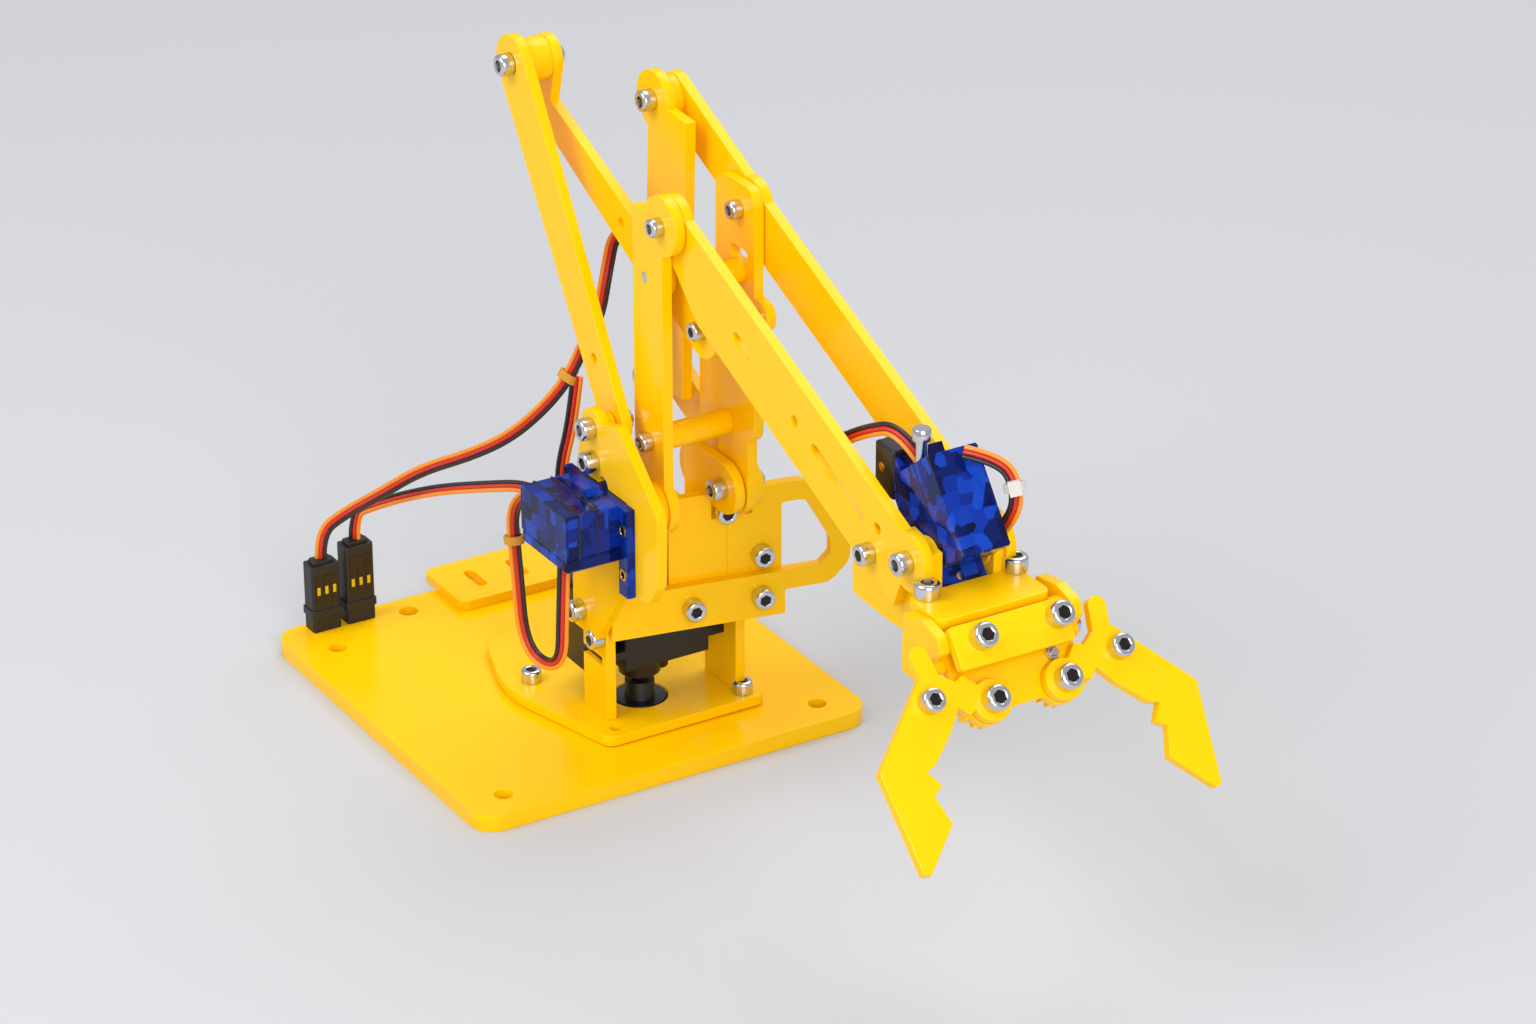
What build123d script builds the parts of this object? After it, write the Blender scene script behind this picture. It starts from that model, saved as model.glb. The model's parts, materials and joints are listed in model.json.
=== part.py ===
"""Desk-top robot arm cut from acrylic sheet: base, turntable, two-plate arm, linkages and gripper.

Frame: X forward along the arm, Y across it, Z up. Origin at the middle of the base plate's underside.
All lengths are in millimetres.
"""
import math
import os

from build123d import *

os.makedirs("parts", exist_ok=True)

# Stock, fits and fasteners
sheet = 3.0
base_sheet = 5.0
overrun = 1.0
pin_radius = 1.5
pin_clearance = 0.06
face_gap = 0.3
washer_gap = 0.5
pin_stub = 2.6
collar_radius = 3.0
open_pivot_clearance = 1.5
screw_hole_radius = 1.6

# Base plate, with a bolt hole near each corner and a slotted bracket at the back
base_length = 128.0
base_width = 124.0
base_corner = 7.0
base_hole_front = 10.0
base_hole_back = 18.0
base_hole_side = 12.0
base_hole_radius = 2.6
lead_hole_radius = 2.8
lead_hole_inset = 8.0
lead_hole_side = 40.0
bracket_overhang = 8.0
bracket_depth = 25.0
bracket_width = 36.0
bracket_left = -9.0
bracket_slot_length = 11.0
bracket_slot_width = 3.4
bracket_slot_pitch = 14.0
bracket_corner = 3.0

# Turntable and its vertical axis
yaw_x = 29.0
yaw_y = 7.0
table_y = 12.0
table_gap = 0.4
table_front = 47.0
table_back = -24.0
table_side_x = 6.0
table_half_front = 25.0
table_half_side = 36.0
table_half_back = 26.0
table_front_round = 3.0
table_side_round = 34.0
table_back_round = 9.0
table_screw_inset = 4.5
hub_hole_radius = 8.0

# Shoulder, elbow and the layers of plate across the arm
near_arm_y = 1.5
far_arm_y = 25.75
shoulder_x = 49.0
shoulder_z = 77.0
lower_arm_length = 82.8
lower_arm_pitch = 87.6
near_arm_back = 11.0
near_arm_front = 4.5
near_arm_head = 8.4
near_arm_shoulder = 1.6
near_arm_foot = 8.0
far_arm_back = 8.8
far_arm_front = 11.4
far_arm_top = 7.5
far_arm_round = 5.0
far_arm_foot = 8.0
arm_slot_length = 9.0
arm_slot_width = 4.0
arm_slot_drop = 13.0
arm_tie_radius = 3.6
arm_tie_height = 18.0
inner_tie_drop = 17.6
cross_pin_ahead = 10.0
cross_pin_drop = 27.3
cross_lug_radius = 4.5
inner_bar_width = 16.0
inner_bar_pitch = 155.0
inner_bar_length = 22.0

# Forearm and the bars behind the elbow
forearm_length = 126.4
forearm_pitch = -23.0
near_bar_up = 5.8
near_bar_down = 16.5
near_bar_end = 8.0
near_bar_taper = 22.0
far_bar_taper = 14.0
far_bar_up = 6.0
far_bar_down = 10.5
far_bar_end = 8.2
bar_slot_width = 3.4
bar_slot_start = 79.0
bar_slot_length = 27.0
bar_window_start = 37.0
bar_window_length = 9.0
bar_hole_start = 70.0
rear_bar_length = 44.0
rear_bar_pitch = 155.4
rear_bar_width = 13.0
crank_foot_back = 8.5
crank_foot_down = 17.5
crank_length = 73.37
crank_pitch = 144.82
crank_width = 13.0
crank_heel_length = 69.8
crank_heel_pitch = 155.4
crank_heel_width = 9.0
crank_hole_start = 20.0
link_foot_back = 12.0
link_foot_up = 21.5
link_gap = 3.3
link_foot_width = 12.5
link_head_width = 16.0
link_hole_start = 18.0
link_spacer_radius = 3.2
tall_link_back = 2.0
tall_link_front = 18.5
tall_link_lug = 8.2
tall_link_slot_length = 26.0
tall_link_slot_width = 8.0
tall_link_slot_height = 40.0
tall_link_spacer = 6.2
lever_width = 13.0

# Supports, front bar and panels of the turret; the front is turned a little to one side
support_back_x = 25.0
support_front_x = 38.0
right_support_front_x = 42.2
support_top = 45.0
left_support_y = -8.5
right_support_y = 30.5
support_slot_height = 9.0
support_slot_width = 3.4
front_turn = 11.0
bar_bottom = 34.4
bar_top = 47.6
bar_length = 51.5
bar_hole_height = 7.0
panel_top = 73.2
panel_bottom = 40.0
panel_start = 18.4
panel_seam = 35.5
panel_notch_start = 31.0
panel_notch_width = 11.9
panel_notch_bottom = 65.4
panel_hole_inset = 6.0
hook_reach = 20.5
hook_low = 40.2
hook_band = 6.0
hook_shoulder = 7.0
hook_round = 6.0
wall_back = 22.0
deck_back = 20.0
deck_top = 66.0
bracket_head_radius = 7.5
bracket_back_x = 28.5

# Plate that carries the shoulder servo, as corners measured from the shoulder
servo_plate_y = -11.5
servo_plate_lug = 5.5
servo_plate_round = 5.0
servo_plate_corners = ((2.5, 27.3), (23.5, 8.7), (23.0, -12.0), (18.0, -19.0), (4.0, -21.0))
plate_relief_radius = 2.6
plate_bolt_back = 10.6
plate_bolt_up = 12.2

# Micro servo
servo_length = 25.0
servo_width = 13.2
servo_body_depth = 16.0
servo_top_depth = 4.2
servo_lug_length = 34.4
servo_lug_thickness = 2.5
servo_shaft_offset = 5.9
servo_bump_height = 3.8
servo_spline_radius = 2.4
servo_spline_height = 2.4
servo_hole_spacing = 29.8
servo_hole_radius = 1.1
servo_ear_drop = 13.0
servo_edge = 0.5

# Base servo, a size larger and hung upside down
base_servo_length = 27.0
base_servo_width = 12.8
base_servo_body_depth = 17.0
base_servo_lug_length = 39.0
base_servo_shaft_offset = 5.5
base_servo_lug_z = 24.5
horn_flange_radius = 7.5
horn_hub_radius = 4.2

# Wrist and gripper; the gripper's face is pitched down from the forearm
grip_y = 18.0
grip_pitch = 53.0
cheek_corners = ((-30.2, -13.1), (-30.1, -22.0), (-13.9, -22.9), (11.3, -21.6), (21.6, -16.1), (16.1, -8.8),
                 (6.9, -8.8), (6.9, 4.0), (-6.0, 6.0), (-14.0, -2.0))
ear_corners = ((12.0, 4.0), (25.0, -6.0), (30.0, 0.0), (30.0, 10.5), (27.0, 11.0), (26.0, 15.0),
               (22.0, 16.5), (16.5, 12.0))
ear_round = 1.5
wrist_boss_radius = 5.5
wrist_bolt_back = 14.3
wrist_bolt_drop = 2.5
palm_low = 8.2
palm_start = 19.0
palm_end = 42.5
palm_half_width = 18.2
front_plate_start = 20.2
front_plate_length = 11.2
front_plate_half_width = 16.8
front_plate_shift = -1.3
top_plate_start = 7.2
top_plate_length = 15.5
top_plate_drop = 8.3
top_plate_half_width = 16.5
top_plate_shift = -1.6
top_plate_round = 2.5
grip_post_radius = 2.4
grip_post_u = 24.6
grip_post_half = 11.3
grip_post_shift = 1.0
grip_servo_u = -9.2
grip_servo_n = 15.4
grip_servo_shift = 0.5
grip_servo_length = 27.0
grip_servo_width = 14.4
grip_servo_lug_length = 36.4

# Claws, geared to each other behind the palm
claw_pivot_u = 39.9
claw_pivot_half = 10.75
claw_lobe_radius = 5.4
gear_teeth = 14
gear_pitch_radius = 5.0
gear_addendum = 0.5
gear_dedendum = 0.75
tooth_root_share = 0.46
tooth_tip_share = 0.20
claw_screw_u = 36.1
claw_screw_half = 28.0
claw_corners = ((40.5, 15.0), (42.0, 18.0), (39.3, 20.5), (44.5, 24.5), (51.2, 31.6), (52.2, 34.4), (56.4, 31.6),
                (58.4, 34.6), (66.0, 32.2), (76.6, 42.4), (76.0, 44.2), (49.4, 47.0), (27.6, 26.0),
                (30.5, 22.4), (33.0, 19.0), (31.8, 16.5), (35.6, 13.0))

# Servo leads, each flat and three wires wide, and the points of their routes
lead_width = 3.6
lead_corner_share = 0.45
lead_rise = 9.0
arm_lead_route = ((-54.3, -42.0, 42.5), (-39.1, -38.0, 53.9), (-27.4, -31.0, 64.4),
                  (-10.1, -24.0, 74.4), (0.6, -17.0, 82.5), (8.0, -9.5, 93.0), (11.8, -3.8, 102.6),
                  (12.2, 1.0, 112.0), (13.0, 5.0, 119.0), (7.0, 10.5, 127.0), (6.5, 14.0, 141.0),
                  (23.0, 17.0, 141.5), (24.5, 17.0, 108.0), (25.0, 16.0, 66.2))
shoulder_lead_route = ((-50.9, -34.0, 44.5), (-40.6, -31.0, 50.5), (-23.3, -27.0, 59.2),
                       (1.3, -24.0, 69.5), (16.0, -22.5, 75.4), (25.4, -22.0, 77.0))
base_lead_route = ((14.5, -1.5, 100.0), (12.5, -4.0, 88.0), (11.5, -7.0, 76.0), (13.0, -8.0, 66.0),
                   (17.5, -5.0, 54.0), (27.0, -2.0, 46.0))
lead_loop_route = ((29.4, -28.0, 79.0), (19.6, -27.5, 73.0), (20.6, -26.5, 54.0), (20.8, -25.0, 27.0),
                   (36.8, -22.0, 27.0), (36.4, -21.0, 46.0), (36.0, -20.0, 57.0))
forearm_lead_route = ((158.3, 15.5, 131.2), (150.5, 13.5, 138.2), (138.0, 11.5, 132.5),
                      (126.0, 10.2, 124.5), (112.0, 10.0, 130.0), (90.0, 10.0, 139.0))
gripper_lead_route = ((170.1, 20.0, 137.6), (175.5, 28.0, 135.0), (179.5, 29.0, 126.0),
                      (180.5, 28.0, 112.0), (181.5, 27.5, 105.3))

# Plugs of the servo leads
inner_plug_length = 24.5
outer_plug_length = 21.0
plug_gap = 2.0
plug_width = 9.0
plug_thickness = 6.0
plug_inset = 4.0
plug_side = 25.5
plug_pin_face = 2.6

base_top = base_sheet
table_bottom = base_top + table_gap
table_top = table_bottom + sheet
shoulder = (shoulder_x, shoulder_z)
link_y = servo_plate_y + sheet + link_gap
near_bar_y = near_arm_y + sheet + face_gap
crank_y = near_bar_y
tall_link_y = far_arm_y - sheet - face_gap
inner_bar_y = near_bar_y + sheet + face_gap
far_bar_y = far_arm_y + sheet + face_gap
far_bracket_y = far_arm_y - sheet - washer_gap


def polar(origin, length, degrees):
    """Point at a length and an angle from another, in the plane of a side plate."""
    angle = math.radians(degrees)
    return (origin[0] + length * math.cos(angle), origin[1] + length * math.sin(angle))


elbow = polar(shoulder, lower_arm_length, lower_arm_pitch)
wrist = polar(elbow, forearm_length, forearm_pitch)
crank_foot = (elbow[0] - crank_foot_back, elbow[1] - crank_foot_down)
crank_end = polar(crank_foot, crank_length, crank_pitch)
rear_bar_end = polar(elbow, rear_bar_length, rear_bar_pitch)
link_foot = (shoulder_x - link_foot_back, shoulder_z + link_foot_up)
lever_end = polar(shoulder, rear_bar_length, rear_bar_pitch)
cross_pin = (elbow[0] + cross_pin_ahead, elbow[1] - cross_pin_drop)
crank_heel = polar(crank_foot, crank_heel_length, crank_heel_pitch)

grip_angle = math.radians(grip_pitch)
grip_along = (math.cos(grip_angle), 0, -math.sin(grip_angle))
grip_out = (math.sin(grip_angle), 0, math.cos(grip_angle))


def side_plate(sketch, y, thickness=sheet):
    """Plate standing along X from an XZ sketch, its near face at y."""
    plane = Plane((0, y, 0), x_dir=(1, 0, 0), z_dir=(0, -1, 0))
    return extrude(plane * sketch, amount=thickness, dir=(0, 1, 0))


def front_plate(sketch, setback=0):
    """Plate of the turret's turned front; the sketch's x runs along it from the left support."""
    turn = math.radians(front_turn)
    out = (math.cos(turn), -math.sin(turn), 0)
    origin = (support_front_x - setback * out[0], left_support_y - setback * out[1], 0)
    plane = Plane(origin, x_dir=(math.sin(turn), math.cos(turn), 0), z_dir=out)
    return extrude(plane * sketch, amount=sheet, dir=out)


def flat_plate(sketch, z, thickness=sheet):
    """Level plate from an XY sketch, its underside at z."""
    return extrude(Plane((0, 0, z)) * sketch, amount=thickness, dir=(0, 0, 1))


def grip_plate(sketch, out, thickness=sheet):
    """Plate parallel to the gripper's face, from a sketch whose x runs to the tips and y across."""
    origin = Vector(wrist[0], grip_y, wrist[1]) + Vector(*grip_out) * out
    plane = Plane(origin, x_dir=grip_along, z_dir=grip_out)
    return extrude(plane * sketch, amount=thickness, dir=grip_out)


def grip_point(along, out):
    """XZ point of the gripper's side view, measured from the wrist."""
    return (wrist[0] + grip_along[0] * along + grip_out[0] * out,
            wrist[1] + grip_along[2] * along + grip_out[2] * out)


def hole(point, radius=screw_hole_radius):
    return Pos(*point) * Circle(radius)


def pin_hole(point):
    return hole(point, pin_radius + pin_clearance)


def box(left, right, low, high):
    """Rectangle between four limits."""
    return Pos((left + right) / 2, (low + high) / 2) * Rectangle(right - left, high - low)


def heading(start, end):
    """Angle of the line from one point to another."""
    return math.degrees(math.atan2(end[1] - start[1], end[0] - start[0]))


def bar(start, end, width):
    """Straight bar with round ends between two points."""
    middle = ((start[0] + end[0]) / 2, (start[1] + end[1]) / 2)
    return Pos(*middle) * Rot(0, 0, heading(start, end)) * SlotCenterToCenter(math.dist(start, end), width)


def tapered_bar(start, end, start_width, end_width):
    """Bar with round ends whose width changes along it."""
    length = math.dist(start, end)
    body = through([(0, -start_width / 2), (length, -end_width / 2), (length, end_width / 2), (0, start_width / 2)])
    body += Circle(start_width / 2)
    body += Pos(length, 0) * Circle(end_width / 2)
    return Pos(*start) * Rot(0, 0, heading(start, end)) * body


def through(points):
    """Straight-edged outline through the points, always run the same way round."""
    turns = sum(a[0] * b[1] - b[0] * a[1] for a, b in zip(points, points[1:] + points[:1]))
    return Polygon(*(points if turns > 0 else points[::-1]), align=None)


def rounded(points, radii):
    """Outline through the points, each corner rounded by its own radius."""
    outline = through(points)
    for point, radius in zip(points, radii):
        if radius > 0:
            corner = outline.vertices().sort_by_distance(Vector(*point))[0]
            outline = fillet(corner, radius)
    return outline


def pin(point, start_y, end_y, radius=pin_radius):
    """Round pin across the arm at an XZ point."""
    centre = Vector(point[0], start_y, point[1])
    return extrude(Plane(centre, z_dir=(0, 1, 0)) * Circle(radius), amount=end_y - start_y)


def shouldered_pin(point, start_y, end_y, collar_start, collar_end, collar_radius):
    """Pin with a thicker collar that keeps two plates apart."""
    return pin(point, start_y, end_y) + pin(point, collar_start, collar_end, collar_radius)


def servo(length, width, body_depth, lug_length, shaft_offset, ear_drop=0):
    """Servo with its output axis on Z and the top of its lugs at zero; the case runs back along -X."""
    hole_spacing = lug_length - (servo_lug_length - servo_hole_spacing)
    height = body_depth + servo_lug_thickness + servo_top_depth
    case = Pos(-shaft_offset, 0, servo_top_depth - height / 2) * Box(length, width, height)
    case = chamfer(case.edges().filter_by(Axis.Z), servo_edge)
    lugs = Pos(-shaft_offset, 0, -servo_lug_thickness / 2) * Box(lug_length, width, servo_lug_thickness)
    if ear_drop > 0:
        ear_length = (lug_length - length) / 2
        ear_x = -shaft_offset + lug_length / 2 - ear_length / 2
        ear = Box(ear_length, ear_drop, servo_lug_thickness)
        lugs += Pos(ear_x, width / 2 + ear_drop / 2, -servo_lug_thickness / 2) * ear
        lugs -= Pos(ear_x, width / 2 + ear_drop / 2, -servo_lug_thickness) * Cylinder(
            servo_hole_radius, servo_lug_thickness * 3)
    for end in (-1, 1):
        spot = Pos(-shaft_offset + end * hole_spacing / 2, 0, -servo_lug_thickness / 2)
        lugs -= spot * Cylinder(servo_hole_radius, servo_lug_thickness * 2)
    bump_radius = width / 2 - servo_edge
    bump = Pos(0, 0, servo_top_depth + servo_bump_height / 2) * Cylinder(bump_radius, servo_bump_height)
    small = Pos(-bump_radius, 0, servo_top_depth + servo_bump_height / 2) * Cylinder(
        bump_radius / 2, servo_bump_height)
    spline_z = servo_top_depth + servo_bump_height + servo_spline_height / 2
    spline = Pos(0, 0, spline_z) * Cylinder(servo_spline_radius, servo_spline_height)
    return case + lugs + bump + small + spline


parts = {}

# Base plate, rear bracket, lead plugs and the fixed horn
outline = fillet(Rectangle(base_length, base_width).vertices(), base_corner)
for side in (-1, 1):
    for x in (base_length / 2 - base_hole_front, base_hole_back - base_length / 2):
        outline -= hole((x, side * (base_width / 2 - base_hole_side)), base_hole_radius)
    outline -= hole((lead_hole_inset - base_length / 2, side * (base_width / 2 - lead_hole_side)), lead_hole_radius)
parts["base_plate"] = flat_plate(outline, 0, base_sheet)

bracket_back = -base_length / 2 - bracket_overhang
bracket_centre = (bracket_back + bracket_depth / 2, bracket_left + bracket_width / 2)
outline = Pos(*bracket_centre) * Rectangle(bracket_depth, bracket_width)
outline = fillet(outline.vertices(), bracket_corner)
for side in (-1, 1):
    outline -= Pos(bracket_centre[0], bracket_centre[1] + side * bracket_slot_pitch / 2) * SlotOverall(
        bracket_slot_length, bracket_slot_width)
parts["rear_bracket"] = flat_plate(outline, base_top)


def plug(length):
    """Lead plug lying along X, with the faces of its three sockets."""
    body = Box(length, plug_width, plug_thickness)
    body = chamfer(body.edges().filter_by(Axis.X), servo_edge)
    for lane in (-1, 0, 1):
        socket = Box(overrun * 2, plug_pin_face / 2, plug_pin_face / 2)
        body -= Pos(length / 2, lane * plug_pin_face, 0) * socket
    return body


plug_x = plug_inset - base_length / 2
inner_plug_y = plug_side - base_width / 2
outer_plug_y = inner_plug_y - plug_width - plug_gap
for name, y, length in (("inner_plug", inner_plug_y, inner_plug_length), ("outer_plug", outer_plug_y, outer_plug_length)):
    parts[name] = Pos(plug_x, y, base_top + length / 2) * Rot(0, -90, 0) * plug(length)

horn_top = base_servo_lug_z - servo_top_depth - servo_bump_height - servo_spline_height - face_gap
horn = Pos(yaw_x, yaw_y, base_top) * Cylinder(
    horn_flange_radius, table_top - base_top, align=(Align.CENTER, Align.CENTER, Align.MIN))
horn += Pos(yaw_x, yaw_y, base_top) * Cylinder(
    horn_hub_radius, horn_top - base_top, align=(Align.CENTER, Align.CENTER, Align.MIN))
parts["base_horn"] = horn

# Turntable, supports, base servo and the front of the turret
points, radii = [], []
for x, half, radius in ((table_front, table_half_front, table_front_round),
                        (table_side_x, table_half_side, table_side_round),
                        (table_back, table_half_back, table_back_round)):
    points.append((x, table_y - half))
    radii.append(radius)
for (x, y), radius in list(zip(points, radii))[::-1]:
    points.append((x, 2 * table_y - y))
    radii.append(radius)
outline = rounded(points, radii) - hole((yaw_x, yaw_y), hub_hole_radius)
for side in (-1, 1):
    outline -= hole((table_front - table_screw_inset,
                     table_y + side * (table_half_front - table_screw_inset)))
    outline -= hole((table_side_x, table_y + side * (table_half_side - 2 * table_screw_inset)))
parts["turntable_plate"] = flat_plate(outline, table_bottom)

for name, y, front in (("left_support", left_support_y, support_front_x),
                       ("right_support", right_support_y, right_support_front_x)):
    outline = box(support_back_x, front, table_top, support_top)
    lug_slot = Rectangle(base_servo_width + 2 * pin_clearance, servo_lug_thickness + 2 * pin_clearance)
    outline -= Pos(yaw_x, base_servo_lug_z + servo_lug_thickness / 2) * lug_slot
    slot = Rot(0, 0, 90) * SlotOverall(support_slot_height, support_slot_width)
    outline -= Pos(yaw_x, support_top - support_slot_height) * slot
    parts[name] = side_plate(outline, y)

parts["base_servo"] = Plane((yaw_x, yaw_y, base_servo_lug_z), x_dir=(0, -1, 0), z_dir=(0, 0, -1)) * servo(
    base_servo_length, base_servo_width, base_servo_body_depth, base_servo_lug_length,
    base_servo_shaft_offset)

front_slope = math.tan(math.radians(front_turn))
bar_start = sheet * front_slope + face_gap
outline = box(bar_start, bar_length, bar_bottom, bar_top)
for along in (bar_start + sheet, panel_start + bar_hole_height, bar_length - bar_hole_height):
    outline -= hole((along, bar_bottom + bar_hole_height))
parts["front_bar"] = front_plate(outline)

notch = box(panel_notch_start, panel_notch_start + panel_notch_width, panel_notch_bottom, panel_top + overrun)
outline = box(panel_start, panel_seam, panel_bottom, panel_top) - notch
outline -= hole((panel_start + panel_hole_inset, panel_top - panel_hole_inset))
parts["front_panel"] = front_plate(outline, sheet)

hook_end = bar_length + hook_reach
hook_middle = (hook_low + panel_top) / 2
hook = rounded([(panel_seam, hook_low), (hook_end - hook_round, hook_low), (hook_end, hook_low + hook_round),
                (hook_end, hook_middle), (bar_length + hook_shoulder, panel_top), (panel_seam, panel_top)],
               [0, hook_round, hook_round, hook_round, hook_round, 0])
inner_end = hook_end - hook_band
hook -= rounded([(bar_length, hook_low + hook_band), (inner_end - hook_round / 2, hook_low + hook_band),
                 (inner_end, hook_low + hook_band + hook_round / 2), (inner_end, hook_middle - hook_band / 2),
                 (bar_length + hook_shoulder, panel_top - hook_band), (bar_length, panel_top - hook_band)],
                [overrun, overrun, overrun, hook_round / 2, hook_round / 2, overrun])
outline = hook - notch
outline -= hole((bar_length - 2 * panel_hole_inset, bar_top + panel_hole_inset))
parts["hook_plate"] = front_plate(outline, sheet)

deck_left = servo_plate_y + sheet
panel_back = support_front_x - sheet / math.cos(math.radians(front_turn))
deck_front = [(panel_back + (y - left_support_y) * front_slope, y) for y in (deck_left, far_bracket_y)]
outline = through([(deck_back, deck_left), deck_front[0], deck_front[1], (deck_back, far_bracket_y)])
parts["deck_plate"] = flat_plate(outline, deck_top - sheet)
wall_y = left_support_y + panel_start
wall_front = panel_back + (wall_y - left_support_y) * front_slope
parts["side_wall"] = side_plate(box(wall_back, wall_front, bar_top, deck_top - sheet), wall_y)

bracket_front = deck_front[1][0]
outline = box(bracket_back_x, bracket_front, support_top, panel_top)
outline += bar((bracket_front - bracket_head_radius, shoulder_z), shoulder, 2 * bracket_head_radius)
outline -= box(bracket_front, shoulder_x + bracket_head_radius, support_top, panel_notch_bottom + overrun)
parts["far_bracket"] = side_plate(outline - pin_hole(shoulder), far_bracket_y)

# Plate and servo on the near side of the shoulder
plate_points = [(shoulder_x + x, shoulder_z + z) for x, z in servo_plate_corners]
plate_points += [(support_front_x, bar_bottom), (support_back_x, bar_bottom),
                 (support_back_x, deck_top), (link_foot[0] - servo_plate_lug, link_foot[1])]
plate_radii = [overrun] + [servo_plate_round] * 4 + [overrun] * 3 + [0]
outline = rounded(plate_points, plate_radii) + hole(link_foot, servo_plate_lug)
window_x = shoulder_x - servo_shaft_offset
outline -= Pos(window_x, shoulder_z) * Rectangle(servo_length + 2 * pin_clearance,
                                                 servo_width + 2 * pin_clearance)
outline -= hole((window_x, shoulder_z + servo_width / 2), plate_relief_radius)
outline -= pin_hole(link_foot)
outline -= hole((shoulder_x - plate_bolt_back, shoulder_z + plate_bolt_up))
parts["left_servo_plate"] = side_plate(outline, servo_plate_y)
parts["left_servo"] = Plane((shoulder_x, servo_plate_y, shoulder_z), x_dir=(1, 0, 0), z_dir=(0, 1, 0)) * servo(
    servo_length, servo_width, servo_body_depth, servo_lug_length, servo_shaft_offset, servo_ear_drop)
parts["link_foot_pin"] = shouldered_pin(link_foot, servo_plate_y - pin_stub, link_y + sheet + pin_stub,
                                        servo_plate_y + sheet, link_y - face_gap, link_spacer_radius)

# Lower arm
bump_end_y = servo_plate_y + servo_top_depth + servo_bump_height
outline = box(shoulder_x - near_arm_back, shoulder_x + near_arm_front, shoulder_z, elbow[1] + near_arm_shoulder)
outline += hole(elbow, near_arm_head) + hole(shoulder, near_arm_foot)
outline += box(shoulder_x - near_arm_back, shoulder_x, shoulder_z - near_arm_foot, shoulder_z)
outline -= pin_hole(elbow)
outline -= pin_hole(crank_foot)
parts["near_lower_arm"] = side_plate(outline, near_arm_y)
hub = Circle(near_arm_foot - overrun) - Circle(servo_spline_radius + pin_clearance)
hub_plane = Plane((shoulder_x, bump_end_y + face_gap, shoulder_z), z_dir=(0, 1, 0))
parts["shoulder_hub"] = extrude(hub_plane * hub, amount=near_arm_y - bump_end_y - face_gap)

far_left, far_right = shoulder_x - far_arm_back, shoulder_x + far_arm_front
outline = box(far_left, far_right, shoulder_z + 2 * far_arm_foot, elbow[1] + far_arm_top)
outline = fillet(outline.vertices(), far_arm_round)
outline += bar(shoulder, (shoulder_x, shoulder_z + 3 * far_arm_foot), 2 * far_arm_foot)
outline -= pin_hole(elbow)
outline -= pin_hole(shoulder)
outline += bar((far_right - cross_lug_radius, cross_pin[1]), cross_pin, 2 * cross_lug_radius) - pin_hole(cross_pin)
outline -= Pos(elbow[0], elbow[1] - arm_slot_drop) * SlotOverall(arm_slot_length, arm_slot_width)
parts["far_lower_arm"] = side_plate(outline, far_arm_y)
parts["shoulder_pin"] = pin(shoulder, far_bracket_y - pin_stub, far_bar_y + sheet + pin_stub)
inner_end = polar(cross_pin, inner_bar_length, inner_bar_pitch)
outline = bar(cross_pin, inner_end, inner_bar_width) - pin_hole(cross_pin)
parts["inner_bar"] = side_plate(outline, inner_bar_y)
parts["arm_pins"] = Part() + [
    pin(elbow, near_arm_y - pin_stub, near_bar_y + sheet + pin_stub),
    pin(elbow, far_arm_y - pin_stub, far_bar_y + sheet + pin_stub),
    pin(crank_foot, near_arm_y, crank_y + sheet),
    pin(cross_pin, inner_bar_y, far_arm_y + sheet)]
lower_tie = (shoulder_x - (near_arm_back - near_arm_front) / 2, shoulder_z + arm_tie_height)
upper_tie = (elbow[0], elbow[1] - inner_tie_drop)
parts["arm_ties"] = Part() + [pin(lower_tie, near_arm_y + sheet, far_arm_y, arm_tie_radius),
                              pin(upper_tie, inner_bar_y + sheet, far_arm_y, arm_tie_radius)]

# Bars of the near linkage
outline = tapered_bar(crank_foot, crank_heel, crank_width, crank_heel_width) + bar(crank_heel, crank_end, crank_width)
outline -= pin_hole(crank_foot)
outline -= pin_hole(crank_end)
outline -= hole(polar(crank_foot, crank_hole_start, crank_heel_pitch))
parts["level_crank"] = side_plate(outline, crank_y)
parts["crank_pin"] = shouldered_pin(crank_end, link_y - pin_stub, crank_y + sheet + pin_stub,
                                    link_y + sheet + face_gap, crank_y, link_foot_width / 2)
link_heading = heading(link_foot, crank_end)
outline = tapered_bar(link_foot, crank_end, link_foot_width, link_head_width) - pin_hole(link_foot)
outline -= hole(crank_end, pin_radius + open_pivot_clearance)
outline -= hole(polar(link_foot, link_hole_start, link_heading))
parts["long_link"] = side_plate(outline, link_y)

# Forearm: a plate on each side, turned about the elbow
def forearm_bar(up, down, end_radius, taper):
    """Outline of a forearm plate, drawn along its own line and then turned onto it."""
    body = through([(0, -end_radius), (taper, -down), (forearm_length, -down), (forearm_length, up), (0, up)])
    body += Circle(end_radius)
    body += Pos(forearm_length, 0) * Circle(end_radius)
    body -= Circle(pin_radius + pin_clearance)
    body -= Pos(forearm_length, 0) * Circle(pin_radius + pin_clearance)
    return body


onto_forearm = Pos(*elbow) * Rot(0, 0, forearm_pitch)
middle_drop = (near_bar_up - near_bar_down) / 2
outline = forearm_bar(near_bar_up, near_bar_down, near_bar_end, near_bar_taper)
outline -= Pos(bar_window_start + bar_window_length / 2, middle_drop) * SlotOverall(
    bar_window_length, bar_slot_width)
outline -= Pos(bar_slot_start + bar_slot_length / 2, middle_drop) * SlotOverall(bar_slot_length, bar_slot_width)
outline -= hole((bar_hole_start, middle_drop))
outline -= hole((forearm_length - wrist_bolt_back, -wrist_bolt_drop))
parts["near_forearm"] = side_plate(onto_forearm * outline, near_bar_y)
outline = onto_forearm * forearm_bar(far_bar_up, far_bar_down, far_bar_end, far_bar_taper)
outline += bar(elbow, rear_bar_end, rear_bar_width)
outline -= pin_hole(elbow)
outline -= pin_hole(rear_bar_end)
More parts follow.
